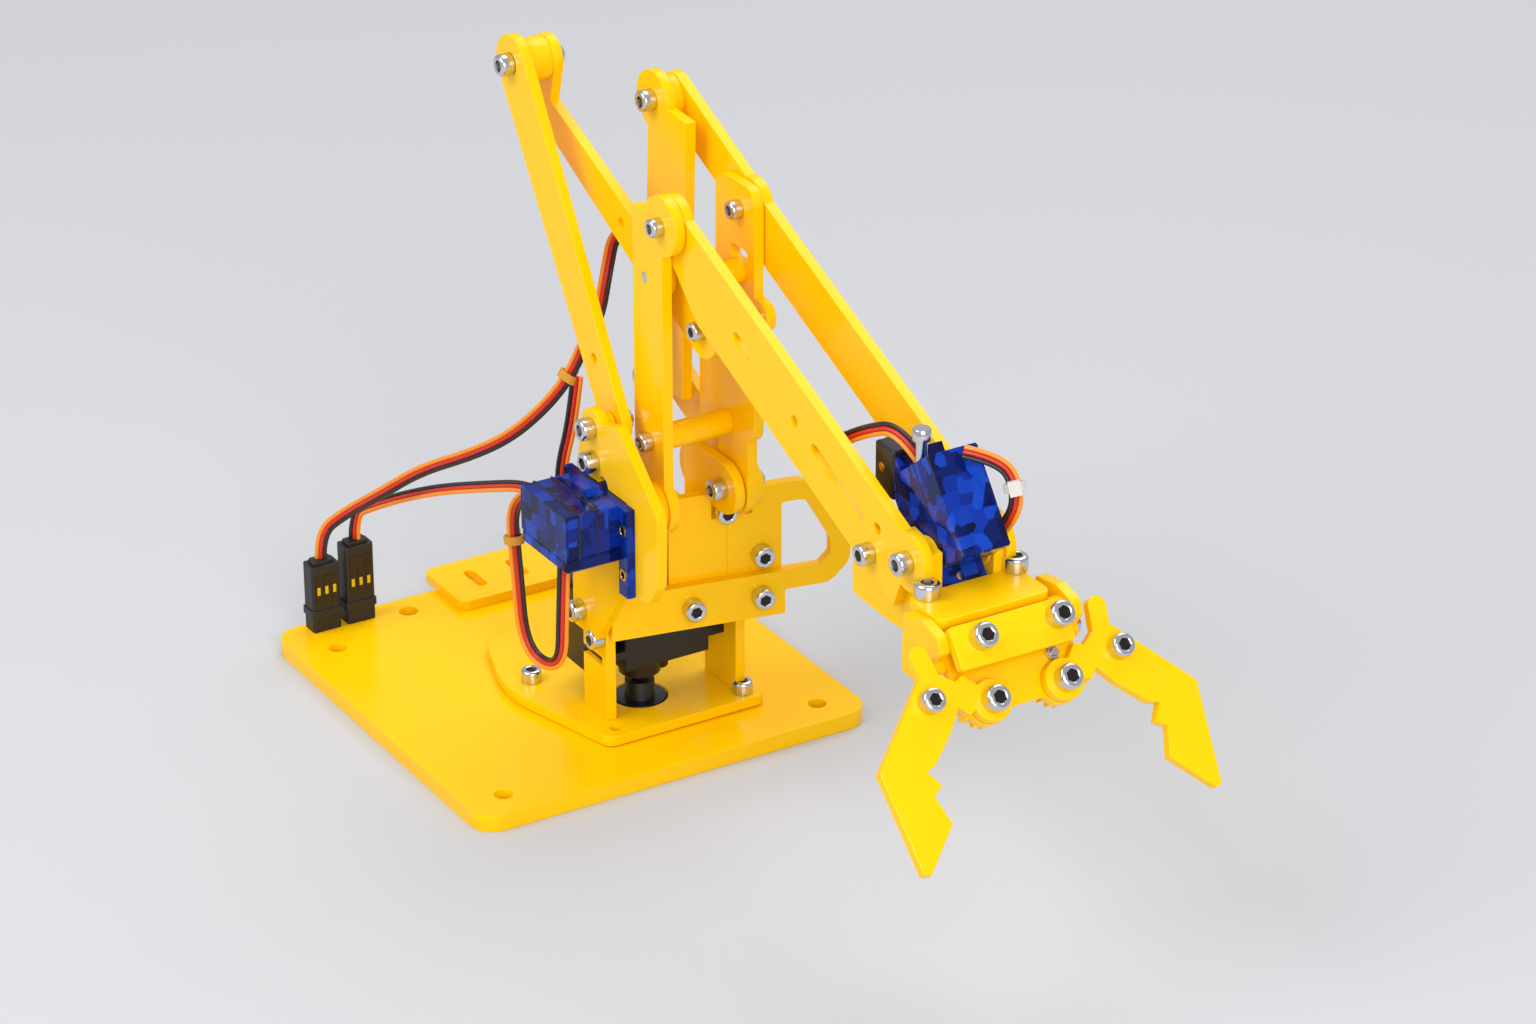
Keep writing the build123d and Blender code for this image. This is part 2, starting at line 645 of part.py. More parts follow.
parts["far_forearm"] = side_plate(outline, far_bar_y)
spacer_y = tall_link_y + sheet + face_gap
parts["rear_bar_pin"] = shouldered_pin(rear_bar_end, tall_link_y - pin_stub, far_bar_y + sheet + pin_stub,
                                       spacer_y, far_bar_y, tall_link_spacer)

# Far linkage that turns the elbow
outline = bar(shoulder, lever_end, lever_width) - pin_hole(shoulder) - pin_hole(lever_end)
parts["elbow_lever"] = side_plate(outline, far_bar_y)
parts["lever_pin"] = shouldered_pin(lever_end, tall_link_y - pin_stub, far_bar_y + sheet + pin_stub,
                                    spacer_y, far_bar_y, tall_link_spacer)
outline = Rot(0, 0, heading(lever_end, rear_bar_end)) * box(0, lower_arm_length, -tall_link_front, tall_link_back)
outline = Pos(*lever_end) * outline + hole(lever_end, tall_link_lug) + hole(rear_bar_end, tall_link_lug)
slot = Pos(tall_link_slot_height, -tall_link_front / 2) * SlotOverall(tall_link_slot_length, tall_link_slot_width)
outline -= Pos(*lever_end) * Rot(0, 0, heading(lever_end, rear_bar_end)) * slot
outline -= pin_hole(lever_end)
outline -= pin_hole(rear_bar_end)
parts["tall_link"] = side_plate(outline, tall_link_y)

# Wrist: cheeks on the inner faces of the forearm plates, bosses that clamp the gripper servo
wrist_inner_near = near_bar_y + sheet
wrist_inner_far = far_bar_y
servo_y = grip_y + grip_servo_shift
servo_near_face = servo_y - grip_servo_width / 2
servo_far_face = servo_y + grip_servo_width / 2
outline = through([(wrist[0] + x, wrist[1] + z) for x, z in cheek_corners]) - pin_hole(wrist)
parts["wrist_cheeks"] = Part() + [side_plate(outline, y) for y in (wrist_inner_near, wrist_inner_far - sheet)]
near_boss = shouldered_pin(wrist, near_bar_y - pin_stub, servo_near_face, wrist_inner_near + sheet,
                           servo_near_face, wrist_boss_radius)
far_boss = shouldered_pin(wrist, servo_far_face, far_bar_y + sheet + pin_stub, servo_far_face,
                          wrist_inner_far - sheet, wrist_boss_radius)
parts["wrist_bosses"] = Part() + [near_boss, far_boss]

# Gripper servo, its output facing down and back
servo_drop = servo_body_depth + servo_lug_thickness
shaft = grip_point(grip_servo_u + servo_shaft_offset, grip_servo_n - servo_drop)
shaft_plane = Plane((shaft[0], servo_y, shaft[1]), x_dir=grip_along, z_dir=-Vector(*grip_out))
parts["gripper_servo"] = shaft_plane * servo(grip_servo_length, grip_servo_width, servo_body_depth,
                                             grip_servo_lug_length, servo_shaft_offset)

# Palm of the gripper: top plate, palm plate, front plate, side ears and the posts between them
top_start = wrist[0] + top_plate_start
top_middle = grip_y + top_plate_shift
outline = box(top_start, top_start + top_plate_length, top_middle - top_plate_half_width,
              top_middle + top_plate_half_width)
parts["grip_top_plate"] = flat_plate(fillet(outline.vertices(), top_plate_round), wrist[1] - top_plate_drop)

pivots = [(claw_pivot_u, side * claw_pivot_half) for side in (-1, 1)]
posts = [(grip_post_u, grip_post_shift + side * grip_post_half) for side in (-1, 1)]
outline = box(palm_start, palm_end, -palm_half_width, palm_half_width)
for point in pivots:
    outline -= pin_hole(point)
parts["palm_plate"] = grip_plate(outline, palm_low)
claw_low = palm_low + sheet + face_gap
front_low = claw_low + sheet + face_gap
gear_low = palm_low - sheet - face_gap
outline = box(front_plate_start, front_plate_start + front_plate_length,
              front_plate_shift - front_plate_half_width, front_plate_shift + front_plate_half_width)
parts["grip_front_plate"] = grip_plate(fillet(outline.vertices(), overrun), front_low)
post_sketch = Sketch() + [hole(point, grip_post_radius) for point in posts]
parts["palm_posts"] = grip_plate(post_sketch, palm_low + sheet, front_low - palm_low - sheet)
outline = through([grip_point(along, out) for along, out in ear_corners])
outline = fillet(outline.vertices(), ear_round)
parts["grip_ears"] = Part() + [side_plate(outline, grip_y - palm_half_width - sheet),
                               side_plate(outline, grip_y + palm_half_width)]

# Claws, geared to each other by two idlers behind the palm
tooth_angle = 360 / gear_teeth
root_radius = gear_pitch_radius - gear_dedendum
tip_radius = gear_pitch_radius + gear_addendum


def gear(tooth):
    """Spur gear profile about its centre, one tooth centred on an angle."""
    disc = Circle(root_radius)
    root_half = root_radius * math.radians(tooth_angle) * tooth_root_share / 2
    tip_half = tip_radius * math.radians(tooth_angle) * tooth_tip_share / 2
    profile = through([(root_radius / 2, -root_half), (root_radius, -root_half), (tip_radius, -tip_half),
                       (tip_radius, tip_half), (root_radius, root_half), (root_radius / 2, root_half)])
    for index in range(gear_teeth):
        disc += Rot(0, 0, tooth + index * tooth_angle) * profile
    return disc


def mating_tooth(tooth, direction):
    """Angle of a tooth on the gear that meshes in that direction."""
    return 2 * direction + 180 - tooth + tooth_angle / 2


idler_back = math.sqrt((2 * gear_pitch_radius) ** 2 - (claw_pivot_half - gear_pitch_radius) ** 2)
idlers = [(claw_pivot_u - idler_back, side * gear_pitch_radius) for side in (-1, 1)]
train = [pivots[0], idlers[0], idlers[1], pivots[1]]
teeth = [heading(train[0], train[1])]
for start, end in zip(train, train[1:]):
    teeth.append(mating_tooth(teeth[-1], heading(start, end)))
for name, centre, tooth in zip(("left_idler", "right_idler"), idlers, teeth[1:3]):
    parts[name] = grip_plate(Pos(*centre) * (gear(tooth) - Circle(pin_radius + pin_clearance)), gear_low)
pin_sketch = Sketch() + [hole(point, pin_radius) for point in idlers]
parts["idler_pins"] = grip_plate(pin_sketch, gear_low, palm_low - gear_low)

for name, side, tooth in (("left", -1, teeth[0]), ("right", 1, teeth[3])):
    pivot = (claw_pivot_u, side * claw_pivot_half)
    shaft = grip_plate(Pos(*pivot) * gear(tooth), gear_low)
    shaft += grip_plate(Pos(*pivot) * Circle(pin_radius), gear_low, claw_low - gear_low)
    parts[name + "_gear_shaft"] = shaft
    outline = through([(along, side * across) for along, across in claw_corners])
    outline += Pos(*pivot) * Circle(claw_lobe_radius)
    outline -= hole((claw_screw_u, side * claw_screw_half))
    parts[name + "_claw"] = grip_plate(outline, claw_low)

# Servo leads
def lead(name, points):
    """Round lead along straight runs, each corner an arc as large as its runs allow."""
    corners, smallest = [], math.inf
    knots = [Vector(*point) for point in points]
    edges, last = [], knots[0]
    for before, corner, after in zip(knots, knots[1:], knots[2:]):
        back, ahead = before - corner, after - corner
        setback = lead_corner_share * min(back.length, ahead.length)
        start, end = corner + back.normalized() * setback, corner + ahead.normalized() * setback
        edges += [Line(last, start), TangentArc(start, end, tangent=-back)]
        half_turn = math.radians(180 - back.get_angle(ahead)) / 2
        smallest = min(smallest, setback / math.tan(half_turn))
        last = end
    edges.append(Line(last, knots[-1]))
    path = Wire(edges)
    print(f"{name}: length {path.length:.0f} mm, smallest bend {smallest:.1f} mm")
    section = Plane(origin=path @ 0, z_dir=path % 0) * Circle(lead_width / 2)
    return sweep(section, path=path)


def risen(top):
    """A plug's top and the point where its lead first bends."""
    return top, (top[0], top[1], top[2] + lead_rise)


inner_plug_top = (plug_x, inner_plug_y, base_top + inner_plug_length + face_gap)
outer_plug_top = (plug_x, outer_plug_y, base_top + outer_plug_length + face_gap)
lead_routes = {
    "arm_lead": risen(outer_plug_top) + arm_lead_route,
    "shoulder_lead": risen(inner_plug_top) + shoulder_lead_route,
    "base_lead": base_lead_route,
    "lead_loop": lead_loop_route,
    "forearm_lead": forearm_lead_route,
    "gripper_lead": gripper_lead_route,
}
for name, route in lead_routes.items():
    parts[name] = lead(name, route)

for name, piece in parts.items():
    export_step(piece, f"parts/{name}.step")
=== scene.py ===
"""Looks of a small desk-top robot arm of yellow acrylic plates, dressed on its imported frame."""

import json
import logging
import math
from dataclasses import dataclass, field
from enum import Enum

import bmesh
import bpy
from mathutils import Matrix, Vector

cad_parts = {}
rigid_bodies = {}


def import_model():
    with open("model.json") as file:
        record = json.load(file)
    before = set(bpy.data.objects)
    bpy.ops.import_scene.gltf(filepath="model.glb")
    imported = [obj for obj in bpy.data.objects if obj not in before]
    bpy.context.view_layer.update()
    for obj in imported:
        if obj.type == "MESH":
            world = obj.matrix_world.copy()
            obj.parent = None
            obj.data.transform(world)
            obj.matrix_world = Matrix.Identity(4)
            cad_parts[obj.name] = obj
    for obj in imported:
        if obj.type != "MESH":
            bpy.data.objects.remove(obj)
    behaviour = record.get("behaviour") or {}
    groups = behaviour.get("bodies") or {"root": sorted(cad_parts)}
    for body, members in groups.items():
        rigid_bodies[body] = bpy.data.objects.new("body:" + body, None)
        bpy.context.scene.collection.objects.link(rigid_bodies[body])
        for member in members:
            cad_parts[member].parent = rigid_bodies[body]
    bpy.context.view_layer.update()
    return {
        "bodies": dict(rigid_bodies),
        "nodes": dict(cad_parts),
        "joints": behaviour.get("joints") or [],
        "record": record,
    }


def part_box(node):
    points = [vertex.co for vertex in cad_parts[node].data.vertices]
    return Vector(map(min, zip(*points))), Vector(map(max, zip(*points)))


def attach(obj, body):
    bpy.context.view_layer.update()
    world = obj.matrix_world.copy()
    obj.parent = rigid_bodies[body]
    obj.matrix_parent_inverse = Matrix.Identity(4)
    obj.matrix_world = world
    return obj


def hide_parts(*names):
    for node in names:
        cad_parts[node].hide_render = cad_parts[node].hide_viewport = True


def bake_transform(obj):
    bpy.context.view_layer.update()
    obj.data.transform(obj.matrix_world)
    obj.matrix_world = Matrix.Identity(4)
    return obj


log = logging.getLogger("robot_arm")
Pair = tuple[float, float]
Point = tuple[float, float, float]
Pairs = tuple[Pair, ...]
Points = tuple[Point, ...]
Colour = tuple[float, float, float, float]
Rings = tuple[Pair | tuple[float, float, bool], ...]
Tree = bpy.types.NodeTree
Material = bpy.types.Material
Socket = bpy.types.NodeSocket
Thing = bpy.types.Object

MM = 0.001
WELD_M = 1e-7
SHARP_DEG = 34.0
CORNER_STEPS = 8
MIX_LOW, MIX_HIGH, MIX_OUT = 6, 7, 2
RANDOM_MAX, RANDOM_OUT = 3, 1


class Body(str, Enum):
    """Bodies of the arm that carry pieces of their own, by their names in the frame."""

    BASE = "base"
    TURRET = "turret"
    LOWER_ARM = "lower_arm"
    CRANK = "level_crank"
    FOREARM = "forearm"
    LEVER = "elbow_lever"
    LEFT_CLAW = "left_claw"
    RIGHT_CLAW = "right_claw"


class Slot(str, Enum):
    """Material slots of the record."""

    ACRYLIC = "acrylic"
    SERVO_BLUE = "servo_blue"
    SERVO_BLACK = "servo_black"
    PLUG = "plug_plastic"
    LEAD = "lead_sheath"
    STEEL = "steel"


def linear(hex_code: str) -> Colour:
    """Turns an sRGB hex colour into linear RGBA.

    Args:
        hex_code: six hex digits, with or without a leading hash.

    Returns:
        Linear red, green, blue and an alpha of one.
    """
    digits = hex_code.lstrip("#")
    channels = [int(digits[i:i + 2], 16) / 255 for i in (0, 2, 4)]
    values = [c / 12.92 if c <= 0.04045 else ((c + 0.055) / 1.055) ** 2.4 for c in channels]
    return (*values, 1.0)


def add_node(tree: Tree, kind: str, settings: dict | None = None,
             links: dict | None = None) -> bpy.types.Node:
    """Adds a node with its settings and links.

    Args:
        tree: the tree that takes the node.
        kind: the node's type name.
        settings: properties by name, and socket values by socket name or number.
        links: output sockets by the name or number of the input that each feeds.

    Returns:
        The new node.
    """
    node = tree.nodes.new(kind)
    for name, value in (settings or {}).items():
        if isinstance(name, str) and hasattr(node, name):
            setattr(node, name, value)
        else:
            node.inputs[name].default_value = value
    for name, output in (links or {}).items():
        tree.links.new(output, node.inputs[name])
    return node


def per_mm(size: float) -> float:
    """Returns the texture scale on Object coordinates for a pattern of that size in millimetres."""
    return 1.0 / (size * MM)


@dataclass
class Surface:
    """A material in the making: its tree, its shader and the coordinates that its patterns lie on."""

    name: str
    material: Material = field(init=False)
    tree: Tree = field(init=False)
    shader: bpy.types.Node = field(init=False)
    place: Socket = field(init=False)

    def __post_init__(self) -> None:
        """Starts the material."""
        self.material = bpy.data.materials.new(self.name)
        self.material.use_nodes = True
        self.tree = self.material.node_tree
        self.shader = next(node for node in self.tree.nodes if node.type == "BSDF_PRINCIPLED")
        self.place = add_node(self.tree, "ShaderNodeTexCoord").outputs["Object"]

    def fix(self, values: dict[str, float | Colour]) -> None:
        """Sets inputs of the shader, given by name."""
        for name, value in values.items():
            self.shader.inputs[name].default_value = value

    def feed(self, name: str, pattern: Socket) -> None:
        """Links a pattern's socket to an input of the shader."""
        self.tree.links.new(pattern, self.shader.inputs[name])

    def noise(self, size_mm: float, detail: float) -> Socket:
        """Returns the socket of a noise pattern from 0 to 1, with so many finer layers."""
        settings = {"Scale": per_mm(size_mm), "Detail": detail}
        return add_node(self.tree, "ShaderNodeTexNoise", settings, {"Vector": self.place}).outputs["Fac"]

    def ramp(self, pattern: Socket, ends: dict[str, float]) -> Socket:
        """Returns the socket of a pattern stretched to other ends, given by name."""
        return add_node(self.tree, "ShaderNodeMapRange", ends, {"Value": pattern}).outputs["Result"]

    def mix(self, share: Socket, low: Colour | Socket, high: Colour) -> Socket:
        """Blends two colours by a pattern.

        Args:
            share: the socket that gives the pattern.
            low: the colour where the pattern is 0, or the socket that gives it.
            high: the colour where the pattern is 1.

        Returns:
            The socket that gives the blend.
        """
        settings, links = {"data_type": "RGBA", MIX_HIGH: high}, {0: share}
        (settings if isinstance(low, tuple) else links)[MIX_LOW] = low
        return add_node(self.tree, "ShaderNodeMix", settings, links).outputs[MIX_OUT]

    def gloss(self, pattern: Socket, roughness: float, spread: Pair) -> None:
        """Varies the roughness with a pattern, by how far it falls and rises."""
        ends = {"To Min": roughness - spread[0], "To Max": roughness + spread[1]}
        self.feed("Roughness", self.ramp(pattern, ends))

    def relief(self, pattern: Socket, strength: float, depth_mm: float) -> None:
        """Raises the surface with a pattern.

        Args:
            pattern: the socket that gives it.
            strength: how much of the relief shows.
            depth_mm: its depth.
        """
        settings = {"Strength": strength, "Distance": depth_mm * MM}
        bump = add_node(self.tree, "ShaderNodeBump", settings, {"Height": pattern})
        self.feed("Normal", bump.outputs["Normal"])


@dataclass(frozen=True)
class CastAcrylic:
    """Cast acrylic sheet, laser cut: deep gloss colour, a faint sheet waviness and small scuffs."""

    name: str = "cast acrylic"
    colour: str = "#FFC300"
    pale: str = "#FFC900"
    roughness: float = 0.2
    spread: Pair = (0.02, 0.03)
    wave_mm: float = 34.0
    wave_detail: float = 2.0
    wave_depth_mm: float = 0.2
    wave_strength: float = 0.015
    scuff_mm: float = 2.2
    scuff_detail: float = 4.0
    ior: float = 1.49
    specular: float = 0.2

    def material(self) -> Material:
        """Returns the material."""
        surface = Surface(self.name)
        tone = surface.noise(self.wave_mm, self.wave_detail)
        surface.feed("Base Color", surface.mix(tone, linear(self.colour), linear(self.pale)))
        surface.gloss(surface.noise(self.scuff_mm, self.scuff_detail), self.roughness, self.spread)
        surface.relief(tone, self.wave_strength, self.wave_depth_mm)
        surface.fix({"IOR": self.ior, "Specular IOR Level": self.specular})
        return surface.material


@dataclass(frozen=True)
class TintedPolycarbonate:
    """Moulded, tinted polycarbonate: deep and glossy, dark blocks standing for the servo's innards seen through the
    case and bright blocks of painted highlight, light refracted through the case.
    """

    name: str = "tinted polycarbonate"
    deep: str = "#060B30"
    colour: str = "#072A8C"
    # bright is the colour of the painted highlights, light refracted through the case painted as blocks.
    bright: str = "#1042B4"
    roughness: float = 0.1
    block_mm: float = 4.2
    disorder: float = 0.7
    body_ends: Pair = (0.0, 0.7)
    # The upper ends pick out the blocks that take the painted highlight.
    painted_highlight_ends: Pair = (0.6, 1.0)
    ripple_mm: float = 9.0
    ripple_detail: float = 2.0
    ripple_depth_mm: float = 0.2
    ripple_strength: float = 0.08
    ior: float = 1.5
    specular: float = 0.2

    def material(self) -> Material:
        """Returns the material."""
        surface = Surface(self.name)
        settings = {"distance": "CHEBYCHEV", "Scale": per_mm(self.block_mm), "Randomness": self.disorder}
        # One pattern of blocks gives both the dark innards and the painted highlights.
        innards_and_highlights = add_node(surface.tree, "ShaderNodeTexVoronoi", settings, {"Vector": surface.place})
        level = add_node(surface.tree, "ShaderNodeSeparateColor", links={0: innards_and_highlights.outputs["Color"]}).outputs[0]
        body, painted_highlight = (surface.ramp(level, {"From Min": low, "From Max": high})
                     for low, high in (self.body_ends, self.painted_highlight_ends))
        dark = surface.mix(body, linear(self.deep), linear(self.colour))
        # Blends the bright colour in as painted highlights, blocks of light refracted through the case.
        surface.feed("Base Color", surface.mix(painted_highlight, dark, linear(self.bright)))
        surface.relief(surface.noise(self.ripple_mm, self.ripple_detail), self.ripple_strength, self.ripple_depth_mm)
        surface.fix({"Roughness": self.roughness, "IOR": self.ior, "Specular IOR Level": self.specular})
        return surface.material


@dataclass(frozen=True)
class Grained:
    """A plain colour with a grain that varies its gloss and its relief."""

    name: str
    colour: str
    roughness: float
    grain_mm: float
    detail: float
    depth_mm: float
    strength: float
    spread: Pair
    metallic: float = 0.0

    def material(self) -> Material:
        """Returns the material."""
        surface = Surface(self.name)
        grain = surface.noise(self.grain_mm, self.detail)
        surface.gloss(grain, self.roughness, self.spread)
        surface.relief(grain, self.strength, self.depth_mm)
        surface.fix({"Base Color": linear(self.colour), "Metallic": self.metallic})
        return surface.material


@dataclass(frozen=True)
class MouldedPlastic(Grained):
    """Moulded plastic with a fine spark-eroded grain, for dark cases, plugs, ties and wires."""

    roughness: float = 0.45
    grain_mm: float = 0.5
    detail: float = 2.0
    depth_mm: float = 0.03
    strength: float = 0.3
    spread: Pair = (0.08, 0.1)


@dataclass(frozen=True)
class TurnedMetal(Grained):
    """Turned or cold-formed metal with fine tool marks, bright on its edges."""

    roughness: float = 0.2
    grain_mm: float = 0.25
    detail: float = 3.0
    depth_mm: float = 0.02
    strength: float = 0.08
    spread: Pair = (0.06, 0.08)
    metallic: float = 1.0


@dataclass(frozen=True)
class MattPaper(Grained):
    """Pale matt paper with a soft fibre, for the floor."""

    name: str = "matt paper"
    colour: str = "#C2C3C6"
    roughness: float = 0.75
    grain_mm: float = 3.0
    detail: float = 3.0
    depth_mm: float = 0.05
    strength: float = 0.02
    spread: Pair = (0.0, 0.0)


@dataclass
class Finishes:
    """Every finish on the arm, built once."""

    acrylic: Material = field(default_factory=CastAcrylic().material)
    servo_blue: Material = field(default_factory=TintedPolycarbonate().material)
    servo_black: Material = field(default_factory=MouldedPlastic("black ABS", "#121214", 0.38).material)
    plug: Material = field(default_factory=MouldedPlastic("black nylon", "#19191B", 0.5).material)
    steel: Material = field(default_factory=TurnedMetal("stainless steel", "#D2D2D6", 0.18).material)
    brass: Material = field(default_factory=TurnedMetal("turned brass", "#D9A441", 0.24).material)
    seam: Material = field(default_factory=MouldedPlastic("dark blue polycarbonate", "#070B22", 0.3).material)
    tie: Material = field(default_factory=MouldedPlastic("amber nylon", "#C98F22", 0.42).material)
    clear_tie: Material = field(default_factory=MouldedPlastic("natural nylon", "#C9C6C0", 0.4).material)
    # The socket finish is a dark steel that paints the shade inside each screw's hex recess.
    socket: Material = field(default_factory=TurnedMetal("oiled steel", "#3A3533", 0.4).material)
    wire_orange: Material = field(default_factory=MouldedPlastic("orange PVC", "#F08C1E", 0.34, 1.5).material)
    wire_red: Material = field(default_factory=MouldedPlastic("red PVC", "#C92A1C", 0.34, 1.5).material)
    wire_dark: Material = field(default_factory=MouldedPlastic("black PVC", "#252022", 0.34, 1.5).material)

    def of_slot(self, slot: str) -> Material:
        """Returns the finish of a slot of the record."""
        return {Slot.ACRYLIC: self.acrylic, Slot.SERVO_BLUE: self.servo_blue, Slot.SERVO_BLACK: self.servo_black,
                Slot.PLUG: self.plug, Slot.LEAD: self.wire_red, Slot.STEEL: self.steel}[Slot(slot)]


@dataclass
class Plates:
    """The solids of the frame, each given its finish and softly broken edges."""

    finishes: Finishes
    sheet_nodes: tuple[str, ...] = ("crank_pin", "rear_bar_pin", "lever_pin", "link_foot_pin", "left_gear_shaft",
                                    "right_gear_shaft", "left_idler", "right_idler")
    edge_mm: float = 0.22
    edge_angle: float = math.radians(32)
    edge_steps: int = 2
    flat_angle: float = math.radians(1.0)
    weld_mm: float = 0.002

    def dress(self, frame: dict) -> None:
        """Gives every solid its material and edge.

        Args:
            frame: the loaded frame.
        """
        slots = {part["node"]: part["material_slot"] for part in frame["record"]["subparts"]}
        for name, solid in frame["nodes"].items():
            slot = Slot.ACRYLIC if name in self.sheet_nodes else slots[name]
            solid.data.materials.clear()
            solid.data.materials.append(self.finishes.of_slot(slot))
            self.break_edges(solid)
        log.info("dressed %d solids", len(frame["nodes"]))

    def break_edges(self, solid: Thing) -> None:
        """Adds the modifiers that round a solid's sharp edges slightly.

        Args:
            solid: the solid.
        """
        weld = solid.modifiers.new("weld", "WELD")
        weld.merge_threshold = self.weld_mm * MM
        flat = solid.modifiers.new("flat faces", "DECIMATE")
        flat.decimate_type = "DISSOLVE"
        flat.angle_limit = self.flat_angle
        bevel = solid.modifiers.new("edge", "BEVEL")
        bevel.width = self.edge_mm * MM
        bevel.segments = self.edge_steps
        bevel.limit_method = "ANGLE"
        bevel.angle_limit = self.edge_angle
        bevel.use_clamp_overlap = True


@dataclass(frozen=True)
class Slab:
    """Sizes in millimetres of a plate with round corners: half its X and Y, corner radius, heights and edge."""

    half: Pair
    radius: float
    low: float
    high: float
    edge: float = 0.2


@dataclass
class Shape:
    """Rings of points gathered into one closed mesh, with a finish number for each ring of faces."""

    points: list[Vector] = field(default_factory=list)
    faces: list[tuple[int, ...]] = field(default_factory=list)
    finish: list[int] = field(default_factory=list)

    def skin(self, rings: list[list[Vector]], finish: int = 0, closed: bool = False) -> None:
        """Skins rings of equally many points, one after the other.

        Args:
            rings: the rings, in order along the form.
            finish: number of the material on these faces.
            closed: whether the last ring joins the first; otherwise both ends are capped.
        """
        start, count = len(self.points), len(rings[0])
        for ring in rings:
            self.points += ring
        pairs = list(zip(range(len(rings)), range(1, len(rings))))
        if closed:
            pairs.append((len(rings) - 1, 0))
        for a, b in pairs:
            for i in range(count):
                j = (i + 1) % count
                first, last = start + a * count, start + b * count
                self.face((first + i, first + j, last + j, last + i), finish)
        if not closed:
            self.face(tuple(start + i for i in reversed(range(count))), finish)
            self.face(tuple(start + (len(rings) - 1) * count + i for i in range(count)), finish)

    def face(self, corners: tuple[int, ...], finish: int) -> None:
        """Adds one face, by the numbers of its points and of its material."""
        self.faces.append(corners)
        self.finish.append(finish)

    def block(self, place: Matrix, low: Point | Vector, high: Point | Vector, finish: int = 0) -> None:
        """Adds a box between two corners given in millimetres of a local frame.

        Args:
            place: the local frame, in metres.
            low: lowest corner.
            high: highest corner.
            finish: number of the material.
        """
        corners = ((low[0], low[1]), (high[0], low[1]), (high[0], high[1]), (low[0], high[1]))
        self.skin([[place @ (Vector((x, y, z)) * MM) for x, y in corners] for z in (low[2], high[2])], finish)

    def slab(self, place: Matrix, plate: Slab, finish: int = 0) -> None:
        """Adds a plate with broken edges, flat in the local XY plane.

        Args:
            place: the local frame, in metres.
            plate: its sizes.
            finish: number of the material.
        """
        rings = []
        for inset, height in ((plate.edge, plate.low), (0.0, plate.low + plate.edge),
                              (0.0, plate.high - plate.edge), (plate.edge, plate.high)):
            bend, ring = plate.radius - inset, []
            for quarter, (x, y) in enumerate(((1, 1), (-1, 1), (-1, -1), (1, -1))):
                for step in range(CORNER_STEPS + 1):
                    angle = math.pi / 2 * (quarter + step / CORNER_STEPS)
                    ring.append(place @ (Vector((x * (plate.half[0] - plate.radius) + bend * math.cos(angle),
                                                 y * (plate.half[1] - plate.radius) + bend * math.sin(angle),
                                                 height)) * MM))
            rings.append(ring)
        self.skin(rings, finish)

    def lathe(self, place: Matrix, profile: Rings, finish: int = 0, steps: int = 36,
              closed: bool = False) -> None:
        """Turns a profile about the local Z axis.

        Args:
            place: the local frame, in metres.
            profile: radius and height of each ring in millimetres, and True for a hexagon whose half width
                across its flats is that radius.
            finish: number of the material.
            steps: points on a ring, a multiple of 12.
            closed: whether the profile's last ring joins its first.
        """
        rings = []
        for radius, height, *hexagon in profile:
            ring = []
            for i in range(steps):
                angle = math.tau * i / steps
                off = (angle + math.pi / 6) % (math.pi / 3) - math.pi / 6
                reach = radius / math.cos(off) if hexagon else radius
                ring.append(place @ (Vector((reach * math.cos(angle), reach * math.sin(angle), height)) * MM))
            rings.append(ring)
        self.skin(rings, finish, closed)

    def piece(self, name: str, materials: list[Material], sharp: float = SHARP_DEG) -> Thing:
        """Makes the object, its normals outward and its soft edges smooth.

        Args:
            name: the object's name.
            materials: materials by finish number.
            sharp: angle in degrees above which an edge stays sharp.

        Returns:
            The object, linked and at the origin.
        """
        mesh = bpy.data.meshes.new(name)
        mesh.from_pydata(self.points, [], self.faces)
        mesh.polygons.foreach_set("material_index", self.finish)
        for material in materials:
            mesh.materials.append(material)
        build = bmesh.new()
        build.from_mesh(mesh)
        bmesh.ops.remove_doubles(build, verts=build.verts, dist=WELD_M)
        bmesh.ops.recalc_face_normals(build, faces=build.faces)
        build.to_mesh(mesh)
        build.free()
        return placed(name, mesh, sharp)


def linked(name: str, data: bpy.types.ID) -> Thing:
    """Links a mesh, curve, light or camera to the scene.

    Args:
        name: the object's name.
        data: what the object shows.

    Returns:
        The object, at the origin.
    """
    thing = bpy.data.objects.new(name, data)
    bpy.context.collection.objects.link(thing)
    return thing


def placed(name: str, mesh: bpy.types.Mesh, sharp: float = SHARP_DEG) -> Thing:
    """Links a mesh as an object, smooth but for its sharp edges.

    Args:
        name: the object's name.
        mesh: the mesh.
        sharp: angle in degrees above which an edge stays sharp.

    Returns:
        The object, at the origin.
    """
    mesh.shade_smooth()
    mesh.set_sharp_from_angle(angle=math.radians(sharp))
    return linked(name, mesh)


def shifted(place: Point) -> Matrix:
    """Returns an upright frame at a place in millimetres."""
    return Matrix.Translation(Vector(place) * MM)


def local(place: Point, facing: Point) -> Matrix:
    """Returns a frame at a place in millimetres whose Z axis faces a way."""
    return shifted(place) @ Vector(facing).to_track_quat("Z", "Y").to_matrix().to_4x4()


